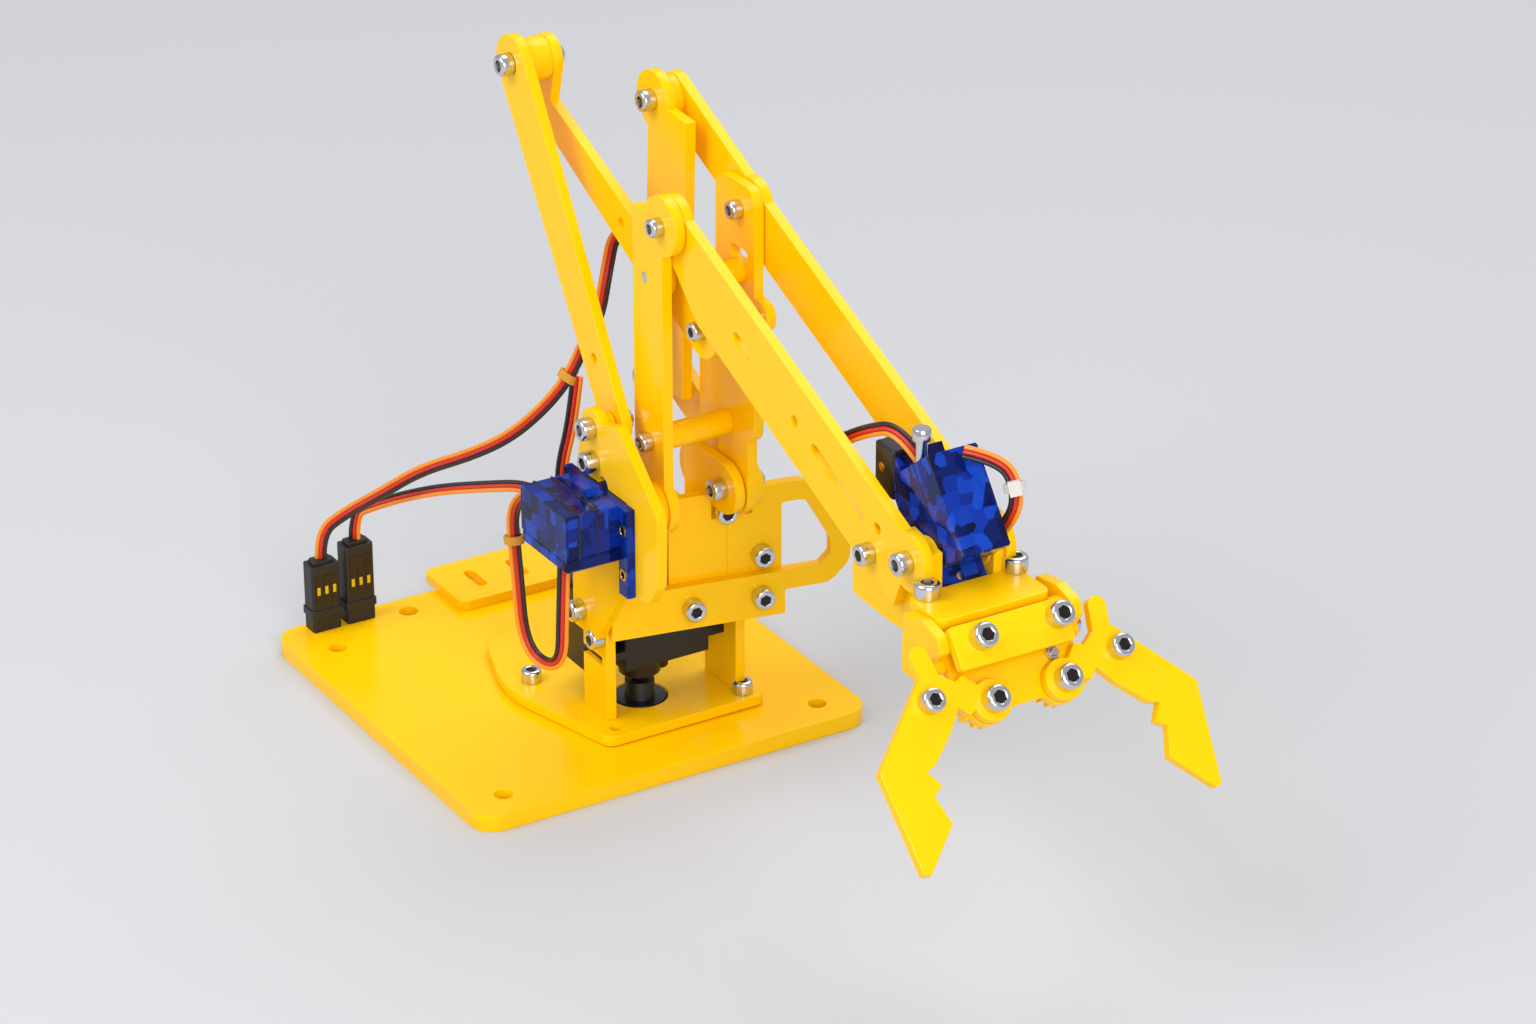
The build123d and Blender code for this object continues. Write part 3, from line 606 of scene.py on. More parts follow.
@dataclass(frozen=True)
class Gripper:
    """The gripper's own directions, measured from the wrist pivot, and its claws' pivots."""

    wrist: Point = (168.82, 18.0, 110.34)
    pitch: float = math.radians(53)
    claw_pivot: Pair = (39.9, 10.75)

    def out(self) -> Point:
        """Returns the way the palm faces."""
        return (math.sin(self.pitch), 0.0, math.cos(self.pitch))

    def along(self) -> Point:
        """Returns the way the claws point."""
        return (math.cos(self.pitch), 0.0, -math.sin(self.pitch))

    def at(self, along: float, across: float, out: float) -> Point:
        """Returns a point so far to the tips, across and out, in millimetres."""
        point = Vector(self.wrist) + Vector(self.along()) * along + Vector((0, across, 0)) + Vector(self.out()) * out
        return tuple(point)

    def frame(self) -> Matrix:
        """Returns the gripper's frame in metres, with X to the tips, Y across and Z out."""
        x, z = Vector(self.along()), Vector(self.out())
        return shifted(self.wrist) @ Matrix((x, z.cross(x), z)).transposed().to_4x4()


@dataclass(frozen=True)
class TurretFront:
    """The turned front of the turret, measured from the left support."""

    start: Pair = (38.0, -8.5)
    turn: float = math.radians(11)

    def out(self) -> Point:
        """Returns the way the front faces."""
        return (math.cos(self.turn), -math.sin(self.turn), 0.0)

    def at(self, along: float, height: float, out: float) -> Point:
        """Returns a point so far along the front, up and out, in millimetres."""
        side = Vector((math.sin(self.turn), math.cos(self.turn), 0))
        return tuple(Vector((*self.start, height)) + side * along + Vector(self.out()) * out)


class Head(int, Enum):
    """What shows of a fastener."""

    SCREW = 0
    NUT = 1


NEAR, FAR, UP = (0.0, -1.0, 0.0), (0.0, 1.0, 0.0), (0.0, 0.0, 1.0)
CLAWS = ((Body.LEFT_CLAW, -1), (Body.RIGHT_CLAW, 1))


@dataclass(frozen=True)
class Fastener:
    """One screw head or nut: the face that it sits on and the way it looks out."""

    body: Body
    place: Point
    facing: Point = NEAR
    head: Head = Head.SCREW
    size: float = 1.0


@dataclass(frozen=True)
class Pin:
    """A screw across the arm: its place in the side view, and where its head and its nut sit across the arm."""

    body: Body
    place: Pair
    head_y: float
    nut_y: float | None
    size: float = 1.0


@dataclass
class Fasteners:
    """Every screw head and nut, set out on each body by one Geometry Nodes tree; places in millimetres."""

    finishes: Finishes
    gripper: Gripper
    front: TurretFront
    elbow: Pair = (52.47, 159.73)
    crank_end: Pair = (-16.0, 184.5)
    rear_end: Pair = (12.46, 178.04)
    lever_end: Pair = (8.99, 95.32)
    link_foot: Pair = (37.0, 98.5)
    shoulder: Pair = (49.0, 77.0)
    cross_pin: Pair = (62.47, 132.43)
    lower_tie: Pair = (45.75, 95.0)
    support_screws: Points = ((38.4, -11.5, 89.2), (29.5, -11.5, 40.5))
    forearm_screw: Point = (151.5, 4.8, 105.6)
    turntable_screws: Points = ((42.5, 32.5, 8.4), (6.0, -15.0, 8.4), (6.0, 39.0, 8.4))
    front_screws: Points = ((34.6, 67.8, 0), (45.4, 52.6, 0), (24.2, 41.0, 3), (44.4, 41.2, 3))
    foot_screw: Point = (34.6, -8.5, 33.0)
    cheek_screws: Points = ((178.4, 4.6, 105.0), (177.2, 31.6, 105.0))
    palm_screws: Points = ((24.6, -10.3, 17.8), (24.6, 12.3, 17.8))
    palm_nut: Point = (32.6, 11.0, 11.2)
    ear: Point = (26.3, 21.2, 7.2)
    claw_end: Pair = (36.1, 28.0)
    claw_top: float = 14.5
    low_head: float = 0.85
    small_head: float = 0.95
    claw_head: float = 1.02
    large_head: float = 1.08
    small_nut: float = 0.6
    ear_nut: float = 0.9
    screw_sharp: float = 40.0
    seat_gap_mm: float = 0.08
    seed: int = 7

    def layout(self) -> list[Fastener]:
        """Returns every fastener, in the order in which they are set."""
        grip, low = self.gripper, self.low_head
        arm, turret, fore = Body.LOWER_ARM, Body.TURRET, Body.FOREARM
        pins = (
            Pin(Body.CRANK, self.crank_end, -5.2, 7.8), Pin(turret, self.link_foot, -11.5, -2.2),
            Pin(arm, self.elbow, 1.5, 7.8, low), Pin(arm, self.elbow, 25.75, 32.05, low),
            Pin(fore, self.rear_end, 22.45, 32.05), Pin(Body.LEVER, self.lever_end, 22.45, 32.05),
            Pin(arm, self.cross_pin, 8.1, None, low), Pin(arm, self.lower_tie, 1.5, 28.75, low),
            Pin(turret, self.shoulder, 22.25, 32.05), Pin(fore, grip.wrist[::2], 4.8, 32.05),
        )
        found = []
        for pin in pins:
            x, z = pin.place
            found.append(Fastener(pin.body, (x, pin.head_y, z), NEAR, size=pin.size))
            if pin.nut_y is not None:
                found.append(Fastener(pin.body, (x, pin.nut_y, z), FAR, Head.NUT))
        rows = (
            (turret, self.support_screws, NEAR, 1.0),
            (fore, (self.forearm_screw,), NEAR, self.small_head),
            (turret, self.turntable_screws, UP, self.small_head),
            (turret, [self.front.at(*place) for place in self.front_screws], self.front.out(), 1.0),
            (turret, (self.foot_screw,), NEAR, self.small_head),
            (fore, self.cheek_screws, UP, self.large_head),
            (fore, [grip.at(*place) for place in self.palm_screws], grip.out(), self.large_head),
        )
        found += [Fastener(body, place, facing, size=size) for body, places, facing, size in rows for place in places]
        found.append(Fastener(fore, grip.at(*self.palm_nut), grip.out(), Head.NUT, self.small_nut))
        along, across, out = self.ear
        found += [Fastener(fore, grip.at(along, side * across, out), facing, Head.NUT, self.ear_nut)
                  for side, facing in ((1, FAR), (-1, NEAR))]
        for body, side in CLAWS:
            for (along, across), size in ((grip.claw_pivot, self.large_head), (self.claw_end, self.claw_head)):
                found.append(Fastener(body, grip.at(along, side * across, self.claw_top), grip.out(), size=size))
        return found

    def build(self) -> None:
        """Bakes one mesh of fasteners for each body."""
        screw, nut, tree, layout = self.screw(), self.nut(), self.tree(), self.layout()
        for body in Body:
            own = [item for item in layout if item.body is body]
            if own:
                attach(self.bake(body, own, tree, screw, nut), body.value)
        for pattern in (screw, nut):
            bpy.data.objects.remove(pattern)
        log.info("set %d fasteners", len(layout))

    def screw(self) -> Thing:
        """Returns a socket cap screw, its underside at zero."""
        shape = Shape()
        shape.lathe(Matrix(), ((2.95, 0.0), (3.1, 0.12), (3.1, 2.85), (3.0, 3.3),
                               (2.75, 3.62), (2.35, 3.8), (1.85, 3.8), (1.5, 3.66, True),
                               (1.44, 2.7, True)))
        # The hex recess takes finish 1, the dark socket steel that paints its shade.
        shape.lathe(Matrix(), ((1.43, 2.75, True), (1.43, 3.25, True)), 1)
        return shape.piece("cap screw", [self.finishes.steel, self.finishes.socket], self.screw_sharp)

    def nut(self) -> Thing:
        """Returns a hexagon nut with the end of its thread, its underside at zero."""
        shape = Shape()
        shape.lathe(Matrix(), ((2.6, 0.0), (2.75, 0.15, True), (2.75, 2.05, True), (2.6, 2.35),
                               (1.9, 2.35), (1.62, 2.1), (1.62, 2.9), (1.35, 3.15)))
        return shape.piece("nut", [self.finishes.steel])

    def tree(self) -> Tree:
        """Returns the tree that stands a screw or nut on each point, turned at random about its axis."""
        tree = bpy.data.node_groups.new("fasteners", "GeometryNodeTree")
        for name, kind in (("Places", "Geometry"), ("Screw", "Object"), ("Nut", "Object"), ("Finish", "Material"),
                           ("Socket", "Material"), ("Seed", "Int")):
            tree.interface.new_socket(name, in_out="INPUT", socket_type="NodeSocket" + kind)
        tree.interface.new_socket("Fasteners", in_out="OUTPUT", socket_type="NodeSocketGeometry")
        given = add_node(tree, "NodeGroupInput").outputs
        read = "GeometryNodeInputNamedAttribute"
        facing, size, is_nut = (
            add_node(tree, read, {"data_type": kind, "Name": name}).outputs["Attribute"]
            for name, kind in (("facing", "FLOAT_VECTOR"), ("size", "FLOAT"), ("nut", "BOOLEAN")))
        is_screw = add_node(tree, "FunctionNodeBooleanMath", {"operation": "NOT"}, {0: is_nut}).outputs[0]
        upright = add_node(tree, "FunctionNodeAlignRotationToVector", {"axis": "Z"}, {"Vector": facing})
        turn = add_node(tree, "FunctionNodeRandomValue", {"data_type": "FLOAT", RANDOM_MAX: math.tau},
                        {"Seed": given["Seed"]})
        spin = add_node(tree, "FunctionNodeAxisAngleToRotation", {"Axis": UP}, {"Angle": turn.outputs[RANDOM_OUT]})
        set_turn = add_node(tree, "FunctionNodeRotateRotation", {"rotation_space": "LOCAL"},
                            {"Rotation": upright.outputs[0], "Rotate By": spin.outputs[0]})
        joined = add_node(tree, "GeometryNodeJoinGeometry")
        for name, chosen in (("Screw", is_screw), ("Nut", is_nut)):
            pattern = add_node(tree, "GeometryNodeObjectInfo", links={"Object": given[name]})
            stand = add_node(tree, "GeometryNodeInstanceOnPoints", links={
                "Points": given["Places"], "Selection": chosen, "Instance": pattern.outputs["Geometry"],
                "Rotation": set_turn.outputs[0], "Scale": size})
            tree.links.new(stand.outputs[0], joined.inputs[0])
        solid = add_node(tree, "GeometryNodeRealizeInstances", links={0: joined.outputs[0]})
        # Faces with the socket finish, the painted shade of the recess, keep it; the rest take the steel finish.
        is_socket = add_node(tree, "GeometryNodeMaterialSelection", links={"Material": given["Socket"]}).outputs[0]
        is_plain = add_node(tree, "FunctionNodeBooleanMath", {"operation": "NOT"}, {0: is_socket}).outputs[0]
        finished = add_node(tree, "GeometryNodeSetMaterial", links={
            "Geometry": solid.outputs[0], "Selection": is_plain, "Material": given["Finish"]})
        add_node(tree, "NodeGroupOutput", links={0: finished.outputs[0]})
        return tree

    def bake(self, body: Body, items: list[Fastener], tree: Tree, screw: Thing, nut: Thing) -> Thing:
        """Runs the tree on one body's fasteners and keeps the mesh.

        Args:
            body: the body that they sit on.
            items: its fasteners.
            tree: the tree that sets them out.
            screw: the screw that is repeated.
            nut: the nut that is repeated.

        Returns:
            One object with all of the body's fasteners.
        """
        mesh = bpy.data.meshes.new("places")
        seats = [(Vector(item.place) + Vector(item.facing) * self.seat_gap_mm) * MM for item in items]
        mesh.from_pydata(seats, [], [])
        mesh.attributes.new("facing", "FLOAT_VECTOR", "POINT").data.foreach_set(
            "vector", [value for item in items for value in item.facing])
        mesh.attributes.new("size", "FLOAT", "POINT").data.foreach_set("value", [item.size for item in items])
        mesh.attributes.new("nut", "BOOLEAN", "POINT").data.foreach_set(
            "value", [item.head is Head.NUT for item in items])
        places = linked("places", mesh)
        modifier = places.modifiers.new("fasteners", "NODES")
        modifier.node_group = tree
        values = {"Screw": screw, "Nut": nut, "Finish": self.finishes.steel, "Socket": self.finishes.socket,
                  "Seed": self.seed}
        for socket in tree.interface.items_tree:
            if socket.in_out == "INPUT" and socket.name in values:
                modifier[socket.identifier] = values[socket.name]
        bpy.context.view_layer.update()
        baked = bpy.data.meshes.new_from_object(places.evaluated_get(bpy.context.evaluated_depsgraph_get()))
        bpy.data.objects.remove(places)
        return placed(f"{body.value}_fasteners", baked)


@dataclass(frozen=True)
class Lead:
    """One servo lead: its CAD node, the points of its route in millimetres, where it ends and what ties it."""

    node: str
    body: Body
    route: Points
    facing: Point
    plug: str = ""
    loose_end: Point = (0.0, 0.0, 0.0)
    ties: tuple[float, ...] = ()
    hanging: bool = False
    clear: bool = False


@dataclass
class Leads:
    """The flat three-wire servo leads, their ties and the details of their plugs; sizes in millimetres.

    The collar and the cap give what they add to a plug's half sizes and, from its foot and its top, their heights.
    """

    finishes: Finishes
    pitch_mm: float = 1.2
    wire_radius_mm: float = 0.6
    wire_sharp: float = 60.0
    sides: int = 10
    curve_steps: int = 14
    curve_order: int = 3
    windows: int = 3
    window_pitch: float = 2.5
    window_low: Point = (-0.4, 1.1, 9.0)
    window_high: Point = (0.12, 2.9, -3.0)
    contact_low: Point = (-0.4, 1.5, 12.0)
    contact_high: Point = (0.2, 2.5, 14.5)
    collar: Slab = Slab((0.4, 0.4), 0.8, 4.5, 7.0)
    cap: Slab = Slab((-0.9, -1.2), 0.8, -0.5, 1.1)
    tie_inside: Pair = (2.3, 1.1)
    tie_strap: Pairs = ((0.0, -1.2), (0.55, -1.2), (0.55, 1.2), (0.0, 1.2))
    tie_head: tuple[Point, Point] = ((-1.6, 1.2, -1.9), (1.6, 3.4, 1.9))
    tie_steps: int = 28

    def layout(self) -> list[Lead]:
        """Returns the leads, each from the object to its far end."""
        view = (0.72, -0.52, 0.46)
        away = (-0.72, 0.52, -0.46)
        return [
            Lead("arm_lead", Body.TURRET, (
                (25.0, 16.0, 66.2), (24.5, 17.0, 108.0), (23.0, 17.0, 141.5), (6.5, 14.0, 141.0), (7.0, 10.5, 127.0),
                (13.0, 5.0, 119.0), (12.2, 1.0, 112.0), (11.8, -3.8, 102.6), (8.0, -9.5, 93.0), (0.6, -17.0, 82.5),
                (-10.1, -24.0, 74.4), (-27.4, -31.0, 64.4), (-39.1, -38.0, 53.9), (-54.3, -42.0, 42.5),
                (-60.0, -47.5, 35.3), (-60.0, -47.5, 26.3)), away, "outer_plug", (8.0, -9.5, 93.0), (0.47,)),
            Lead("shoulder_lead", Body.TURRET, (
                (30.8, -21.9, 77.6), (25.4, -22.0, 77.0), (16.0, -22.5, 75.4), (1.3, -24.0, 69.5),
                (-23.3, -27.0, 59.2), (-40.6, -31.0, 50.5), (-50.9, -34.0, 44.5), (-60.0, -36.5, 38.8),
                (-60.0, -36.5, 29.8)), (0.5, -0.5, 0.7), "inner_plug", (16.0, -22.5, 75.4)),
            Lead("base_lead", Body.TURRET, (
                (13.4, -2.6, 102.4), (12.5, -4.0, 88.0), (11.5, -7.0, 76.0), (13.0, -8.0, 66.0), (17.5, -5.0, 54.0),
                (27.0, -2.0, 46.0)), view),
            Lead("lead_loop", Body.TURRET, (
                (29.4, -28.0, 79.0), (19.6, -27.5, 73.0), (20.6, -26.5, 54.0), (20.8, -25.0, 27.0),
                (36.8, -22.0, 27.0), (36.4, -21.0, 46.0), (35.6, -19.6, 67.2)), away, ties=(0.22,), hanging=True),
            Lead("forearm_lead", Body.FOREARM, (
                (158.3, 15.5, 131.2), (150.5, 13.5, 138.2), (138.0, 11.5, 132.5), (126.0, 10.2, 124.5),
                (112.0, 10.0, 130.0), (90.0, 10.0, 139.0)), view),
            Lead("gripper_lead", Body.FOREARM, (
                (170.1, 20.0, 137.6), (175.5, 28.0, 135.6), (181.0, 29.0, 130.0), (180.5, 28.6, 121.5),
                (175.0, 27.7, 115.4)), view, ties=(0.5,), clear=True),
        ]

    def build(self, frame: dict) -> None:
        """Builds every lead in place of its CAD tube.

        Args:
            frame: the loaded frame; not used.
        """
        for lead in self.layout():
            line = self.centre_line(lead)
            ribbon, across = self.ribbon(lead, line)
            ties = [self.tie(lead, line, across, share) for share in lead.ties]
            contacts = [self.contacts(lead.plug)] if lead.plug else []
            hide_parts(lead.node)
            if lead.plug:
                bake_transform(ribbon)
            else:
                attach(ribbon, lead.body.value)
            for tie in ties:
                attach(tie, lead.body.value)
            for contact in contacts:
                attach(contact, Body.BASE.value)

    def contacts(self, plug: str) -> Thing:
        """Sets the contact windows with their contacts, a collar and a cap on a plug.

        Args:
            plug: the plug's node.

        Returns:
            The details as one piece.
        """
        low, high = (Vector(corner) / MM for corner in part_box(plug))
        shape = Shape()
        foot, top = Vector((high.x, low.y, low.z)), Vector((high.x, low.y, high.z))
        for window in range(self.windows):
            step = Vector((0, window * self.window_pitch, 0))
            shape.block(Matrix(), foot + step + Vector(self.window_low), top + step + Vector(self.window_high), 1)
            shape.block(Matrix(), foot + step + Vector(self.contact_low), foot + step + Vector(self.contact_high), 2)
        middle = shifted(((low.x + high.x) / 2, (low.y + high.y) / 2, 0))
        for trim, level in ((self.collar, low.z), (self.cap, high.z)):
            half = ((high.x - low.x) / 2 + trim.half[0], (high.y - low.y) / 2 + trim.half[1])
            shape.slab(middle, Slab(half, trim.radius, level + trim.low, level + trim.high))
        finishes = [self.finishes.plug, self.finishes.servo_black, self.finishes.steel]
        return shape.piece(f"{plug}_contacts", finishes)

    def centre_line(self, lead: Lead) -> list[Vector]:
        """Finds points on the smooth curve that a lead follows.

        Args:
            lead: the lead.

        Returns:
            The points, in metres.
        """
        curve = bpy.data.curves.new(lead.node, "CURVE")
        curve.dimensions, curve.resolution_u = "3D", self.curve_steps
        spline = curve.splines.new("NURBS")
        spline.points.add(len(lead.route) - 1)
        for point, place in zip(spline.points, lead.route):
            point.co = (*(Vector(place) * MM), 1.0)
        spline.order_u = self.curve_order
        spline.use_endpoint_u = True
        guide = linked(lead.node, curve)
        bpy.context.view_layer.update()
        mesh = bpy.data.meshes.new_from_object(guide)
        line = [vertex.co.copy() for vertex in mesh.vertices]
        bpy.data.objects.remove(guide)
        bpy.data.meshes.remove(mesh)
        return line

    def ribbon(self, lead: Lead, line: list[Vector]) -> tuple[Thing, list[Vector]]:
        """Skins three wires side by side along a line.

        Args:
            lead: the lead.
            line: the points that it follows.

        Returns:
            The ribbon and the direction across it at each point.
        """
        tangents = [(line[min(i + 1, len(line) - 1)] - line[max(i - 1, 0)]).normalized() for i in range(len(line))]
        across = []
        for tangent in tangents:
            side = tangent.cross(Vector(lead.facing)).normalized()
            across.append(-side if across and side.dot(across[-1]) < 0 else side)
        shape = Shape()
        for lane in (-1, 0, 1):
            rings = []
            for point, tangent, side in zip(line, tangents, across):
                up = side.cross(tangent)
                middle = point + side * lane * self.pitch_mm * MM
                rings.append([middle + (side * math.cos(a) + up * math.sin(a)) * self.wire_radius_mm * MM
                              for a in (math.tau * k / self.sides for k in range(self.sides))])
            shape.skin(rings, lane + 1)
        finishes = [self.finishes.wire_orange, self.finishes.wire_red, self.finishes.wire_dark]
        return shape.piece(f"{lead.node}_wires", finishes, self.wire_sharp), across

    def tie(self, lead: Lead, line: list[Vector], across: list[Vector], share: float) -> Thing:
        """Wraps a cable tie with its head round a lead.

        Args:
            lead: the lead.
            line: the points that it follows.
            across: the direction across it at each point.
            share: how far along the lead the tie sits, from 0 to 1.

        Returns:
            The tie.
        """
        i = int(share * (len(line) - 1))
        tangent = (line[i + 1] - line[i - 1]).normalized()
        side = across[i]
        frame = Matrix.Translation(line[i]) @ Matrix((side, side.cross(tangent), -tangent)).transposed().to_4x4()
        shape, rings = Shape(), []
        for step in range(self.tie_steps):
            angle = math.tau * step / self.tie_steps
            rings.append([frame @ (Vector(((self.tie_inside[0] + wall) * math.cos(angle),
                                           (self.tie_inside[1] + wall) * math.sin(angle), height)) * MM)
                          for wall, height in self.tie_strap])
        shape.skin(rings, closed=True)
        shape.block(frame, *self.tie_head)
        return shape.piece(f"{lead.node}_tie", [self.finishes.clear_tie if lead.clear else self.finishes.tie])


@dataclass
class ServoTrim:
    """What shows on the servos' cases: seams, eyelets, a lip, a bolt and black fittings; sizes in millimetres."""

    finishes: Finishes
    gripper: Gripper
    proud: float = 0.06
    sunk: float = 0.3
    shoulder_case: Point = (43.1, -7.3, 77.0)
    shoulder_half: Pair = (12.5, 6.6)
    shoulder_seams: Pairs = ((4.2, 0.9), (13.2, 0.5), (18.6, 0.7))
    eyelets: Points = ((58.0, -14.0, 77.0), (58.0, -14.0, 63.9))
    eyelet: Rings = ((1.05, -0.4), (1.75, -0.4), (1.75, 0.15), (1.5, 0.3),
                                (1.15, 0.3), (1.0, 0.1))
    eyelet_steps: int = 24
    lip_place: Point = (43.3, -20.6, 0.0)
    lip: Slab = Slab((12.5, 9.6), 1.2, 67.0, 70.6, 0.5)
    tail_place: Point = (15.7, -0.5, 0.0)
    tail: tuple[Slab, ...] = (Slab((7.2, 6.2), 1.0, 16.0, 39.5, 0.4), Slab((7.7, 6.7), 1.0, 30.0, 33.0, 0.4),
                              Slab((6.4, 5.4), 1.0, 39.4, 41.0, 0.4))
    grip_case: Point = (-9.2, 0.5, -7.3)
    grip_half: Pair = (13.5, 7.2)
    grip_seams: Pairs = ((4.5, 0.7), (14.0, 0.6))
    foot_place: Point = (148.2, 15.2, 0.0)
    foot: Slab = Slab((4.4, 4.4), 0.8, 119.0, 132.5, 0.4)
    rivet: Point = (147.4, 10.8, 126.5)
    bolt: Point = (161.4, 13.4, 132.0)

    def build(self) -> None:
        """Trims the three servos."""
        self.trim_shoulder()
        self.add_tail()
        self.trim_gripper()

    def trim_shoulder(self) -> None:
        """Trims the shoulder servo with seams, eyelets and its lower lip."""
        shape = Shape()
        case = shifted(self.shoulder_case) @ Matrix.Rotation(math.radians(90), 4, "X")
        self.seams(shape, case, self.shoulder_half, self.shoulder_seams)
        for place in self.eyelets:
            shape.lathe(local(place, NEAR), self.eyelet, 1, self.eyelet_steps, closed=True)
        shape.slab(shifted(self.lip_place), self.lip, 2)
        finishes = [self.finishes.seam, self.finishes.brass, self.finishes.servo_blue]
        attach(shape.piece("shoulder_servo_trim", finishes), Body.TURRET.value)

    def add_tail(self) -> None:
        """Adds the black case that shows behind the left support."""
        shape = Shape()
        for level in self.tail:
            shape.slab(shifted(self.tail_place), level)
        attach(shape.piece("base_servo_tail", [self.finishes.servo_black]), Body.TURRET.value)

    def trim_gripper(self) -> None:
        """Trims the gripper servo with seams, a riveted black block and a bolt."""
        shape = Shape()
        self.seams(shape, self.gripper.frame() @ shifted(self.grip_case), self.grip_half, self.grip_seams)
        shape.slab(shifted(self.foot_place), self.foot, 2)
        shape.lathe(local(self.rivet, NEAR), ((1.2, -0.5), (1.2, 0.15), (0.9, 0.3)), 1)
        shape.lathe(local(self.bolt, UP), ((1.5, 0.0), (1.5, 7.0), (2.4, 7.0),
                                           (2.5, 7.3), (2.5, 9.6), (2.1, 10.2)), 3)
        finishes = [self.finishes.seam, self.finishes.brass, self.finishes.servo_black, self.finishes.steel]
        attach(shape.piece("gripper_servo_trim", finishes), Body.FOREARM.value)

    def seams(self, shape: Shape, case: Matrix, half: Pair, levels: Pairs) -> None:
        """Lays seam lines round a case.

        Args:
            shape: the mesh that takes them.
            case: the case's frame, Z along its depth.
            half: half its length and width.
            levels: height and width of each seam.
        """
        for level, width in levels:
            edge = width / 2
            section = ((-self.sunk, -edge), (self.proud, -edge), (self.proud, edge), (-self.sunk, edge))
            shape.skin([[case @ (Vector((x * (half[0] + grow), y * (half[1] + grow), level + height)) * MM)
                         for grow, height in section]
                        for x, y in ((-1, -1), (1, -1), (1, 1), (-1, 1))], 0, closed=True)


@dataclass
class PlateDetails:
    """Small acrylic details: the claws' tabs, the palm's round lobes, hole plugs and the far arm's rib."""

    finishes: Finishes
    gripper: Gripper
    front: TurretFront
    lobe: Slab = Slab((5.7, 5.7), 5.7, 8.15, 11.25)
    tab: Slab = Slab((6.6, 2.6), 2.5, 11.55, 14.45)
    tab_place: Pair = (28.6, 25.7)
    tab_turn: float = 0.17
    hole_plug: Slab = Slab((1.9, 1.9), 1.9, -2.9, 0.05, 0.02)
    hole_places: Points = ((24.4, 67.2, 0.0), (39.5, 53.6, 0.0), (3.9, 41.4, 3.0))
    rib: Slab = Slab((8.6, 24.0), 3.0, 0.0, 2.9)
    rib_place: Point = (39.8, 28.7, 112.0)

    def build(self) -> None:
        """Builds each detail on its body."""
        frame = self.gripper.frame()
        lobes = Shape()
        for body, side in CLAWS:
            along, across = self.gripper.claw_pivot
            lobes.slab(frame @ shifted((along, side * across, 0)), self.lobe)
            along, across = self.tab_place
            tab = Shape()
            tab.slab(frame @ (shifted((along, side * across, 0)) @ Matrix.Rotation(-side * self.tab_turn, 4, "Z")),
                     self.tab)
            self.ride(tab, f"{body.value}_tab", body)
        self.ride(lobes, "palm_lobes", Body.FOREARM)
        plugs = Shape()
        for place in self.hole_places:
            plugs.slab(local(self.front.at(*place), self.front.out()), self.hole_plug)
        self.ride(plugs, "panel_plugs", Body.TURRET)
        rib = Shape()
        rib.slab(shifted(self.rib_place) @ Matrix.Rotation(math.pi / 2, 4, "X"), self.rib)
        self.ride(rib, "far_arm_rib", Body.LOWER_ARM)

    def ride(self, shape: Shape, name: str, body: Body) -> None:
        """Makes an acrylic piece that moves with a body.

        Args:
            shape: its form.
            name: its name.
            body: the body that it moves with.
        """
        piece = shape.piece(name, [self.finishes.acrylic])
        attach(piece, body.value)


@dataclass(frozen=True)
class SoftLight:
    """One square light: its name, its place and the side of its square in metres, and its power in watts."""

    name: str
    place: Point
    side: float
    watts: float


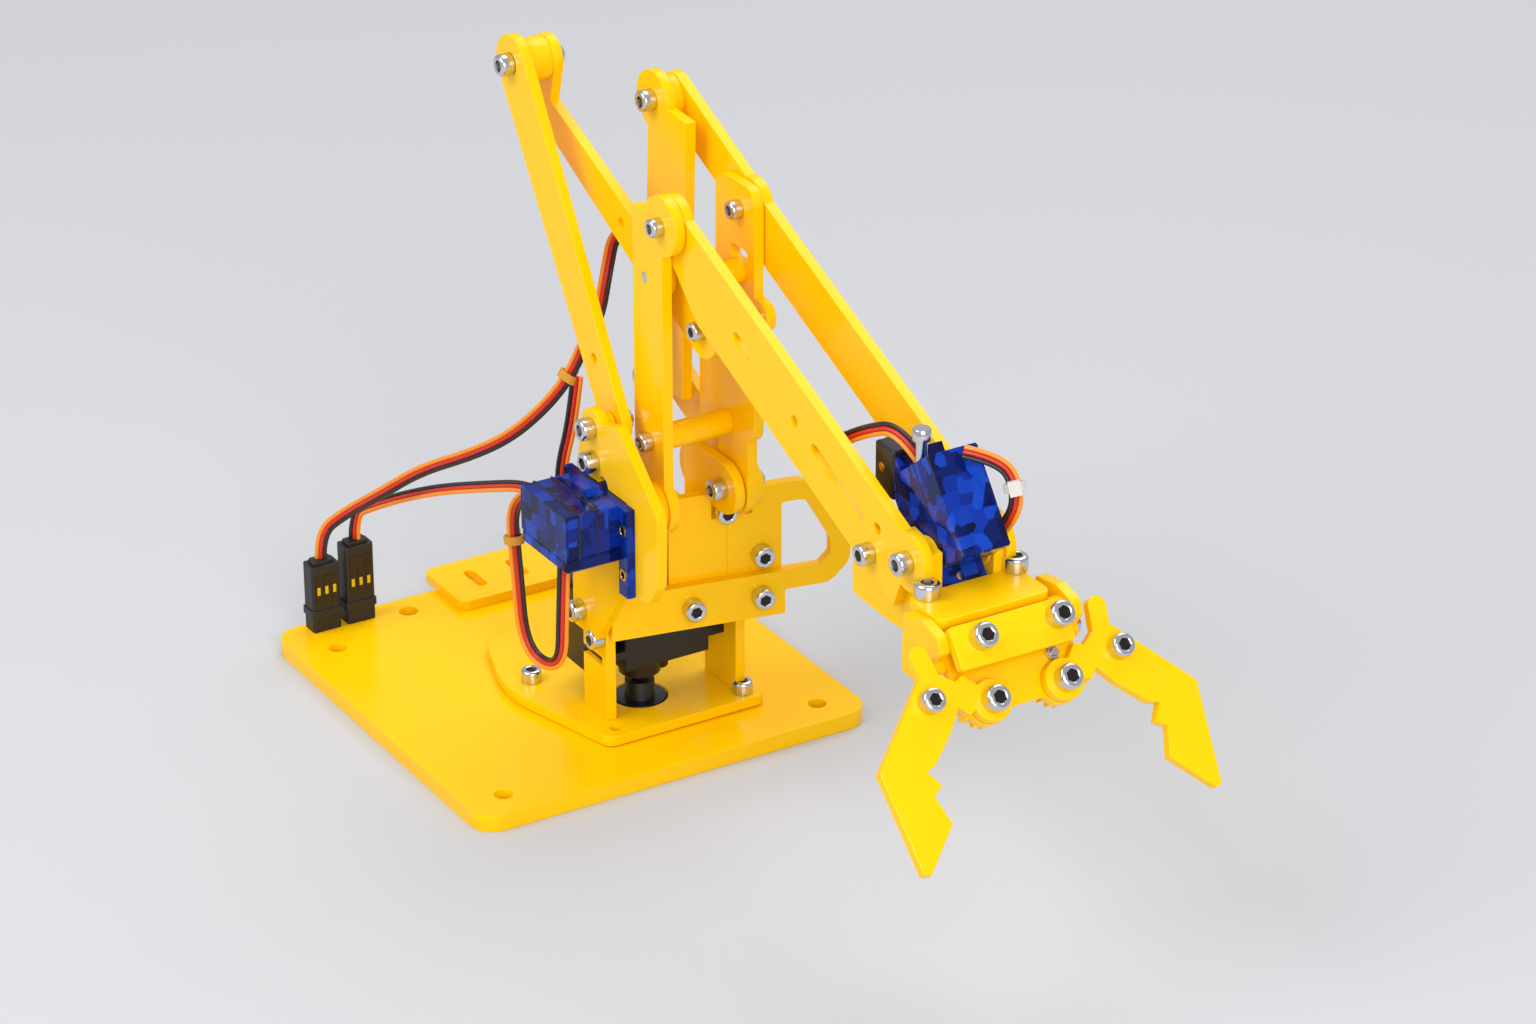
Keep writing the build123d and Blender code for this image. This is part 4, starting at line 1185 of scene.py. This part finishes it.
@dataclass
class Studio:
    """Pale floor, soft lights and the camera that takes the photograph's view."""

    floor_half: float = 6.0
    sky_hex: str = "#F4F6FA"
    sky_strength: float = 0.55
    lamps: tuple[SoftLight, ...] = (SoftLight("key", (-0.1, -1.05, 1.15), 1.0, 12.5),
                                    SoftLight("top", (-0.45, 0.95, 1.65), 1.3, 15.0),
                                    SoftLight("front", (1.25, -0.35, 0.7), 0.8, 11.5))
    azimuth: float = 58.782
    elevation: float = 26.047
    distance_mm: float = 1333.333
    target_mm: Point = (38.434, 43.338, 60.0)
    lens_mm: float = 112.5
    sensor_mm: float = 36.0

    def build(self) -> None:
        """Builds the floor, lights and camera."""
        self.floor()
        self.lights()
        self.camera()
        view = bpy.context.scene.view_settings
        view.view_transform, view.look = "Standard", "None"

    def floor(self) -> None:
        """Lays a wide pale floor under the arm."""
        half = self.floor_half
        mesh = bpy.data.meshes.new("floor")
        mesh.from_pydata([(-half, -half, 0), (half, -half, 0), (half, half, 0), (-half, half, 0)], [], [(0, 1, 2, 3)])
        floor = linked("floor", mesh)
        mesh.materials.append(MattPaper().material())

    def lights(self) -> None:
        """Hangs the soft lights and sets the world's fill."""
        world = bpy.data.worlds.new("studio")
        world.use_nodes = True
        sky = next(node for node in world.node_tree.nodes if node.type == "BACKGROUND")
        sky.inputs["Color"].default_value = linear(self.sky_hex)
        sky.inputs["Strength"].default_value = self.sky_strength
        bpy.context.scene.world = world
        for lamp in self.lamps:
            self.area(lamp)

    def area(self, lamp: SoftLight) -> None:
        """Hangs one square light that faces the arm.

        Args:
            lamp: the light.
        """
        data = bpy.data.lights.new(lamp.name, "AREA")
        data.shape, data.size, data.energy = "SQUARE", lamp.side, lamp.watts
        hung = linked(lamp.name, data)
        hung.location = lamp.place
        aim = Vector(self.target_mm) * MM - Vector(lamp.place)
        hung.rotation_euler = aim.to_track_quat("-Z", "Y").to_euler()

    def camera(self) -> None:
        """Sets the camera to the photograph's view."""
        turn, rise = math.radians(self.azimuth), math.radians(self.elevation)
        away = Vector((math.sin(turn) * math.cos(rise), -math.cos(turn) * math.cos(rise), math.sin(rise)))
        data = bpy.data.cameras.new("camera")
        data.lens, data.sensor_width = self.lens_mm, self.sensor_mm
        data.dof.use_dof = False
        eye = linked("camera", data)
        eye.location = (Vector(self.target_mm) + away * self.distance_mm) * MM
        eye.rotation_euler = (-away).to_track_quat("-Z", "Y").to_euler()
        bpy.context.scene.camera = eye


def main() -> None:
    """Builds the arm's looks in order."""
    logging.basicConfig(level=logging.INFO, format="%(message)s")
    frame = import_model()
    finishes = Finishes()
    Studio().build()
    Plates(finishes).dress(frame)
    gripper = Gripper()
    front = TurretFront()
    Fasteners(finishes, gripper, front).build()
    PlateDetails(finishes, gripper, front).build()
    Leads(finishes).build(frame)
    ServoTrim(finishes, gripper).build()


if __name__ == "__main__":
    main()
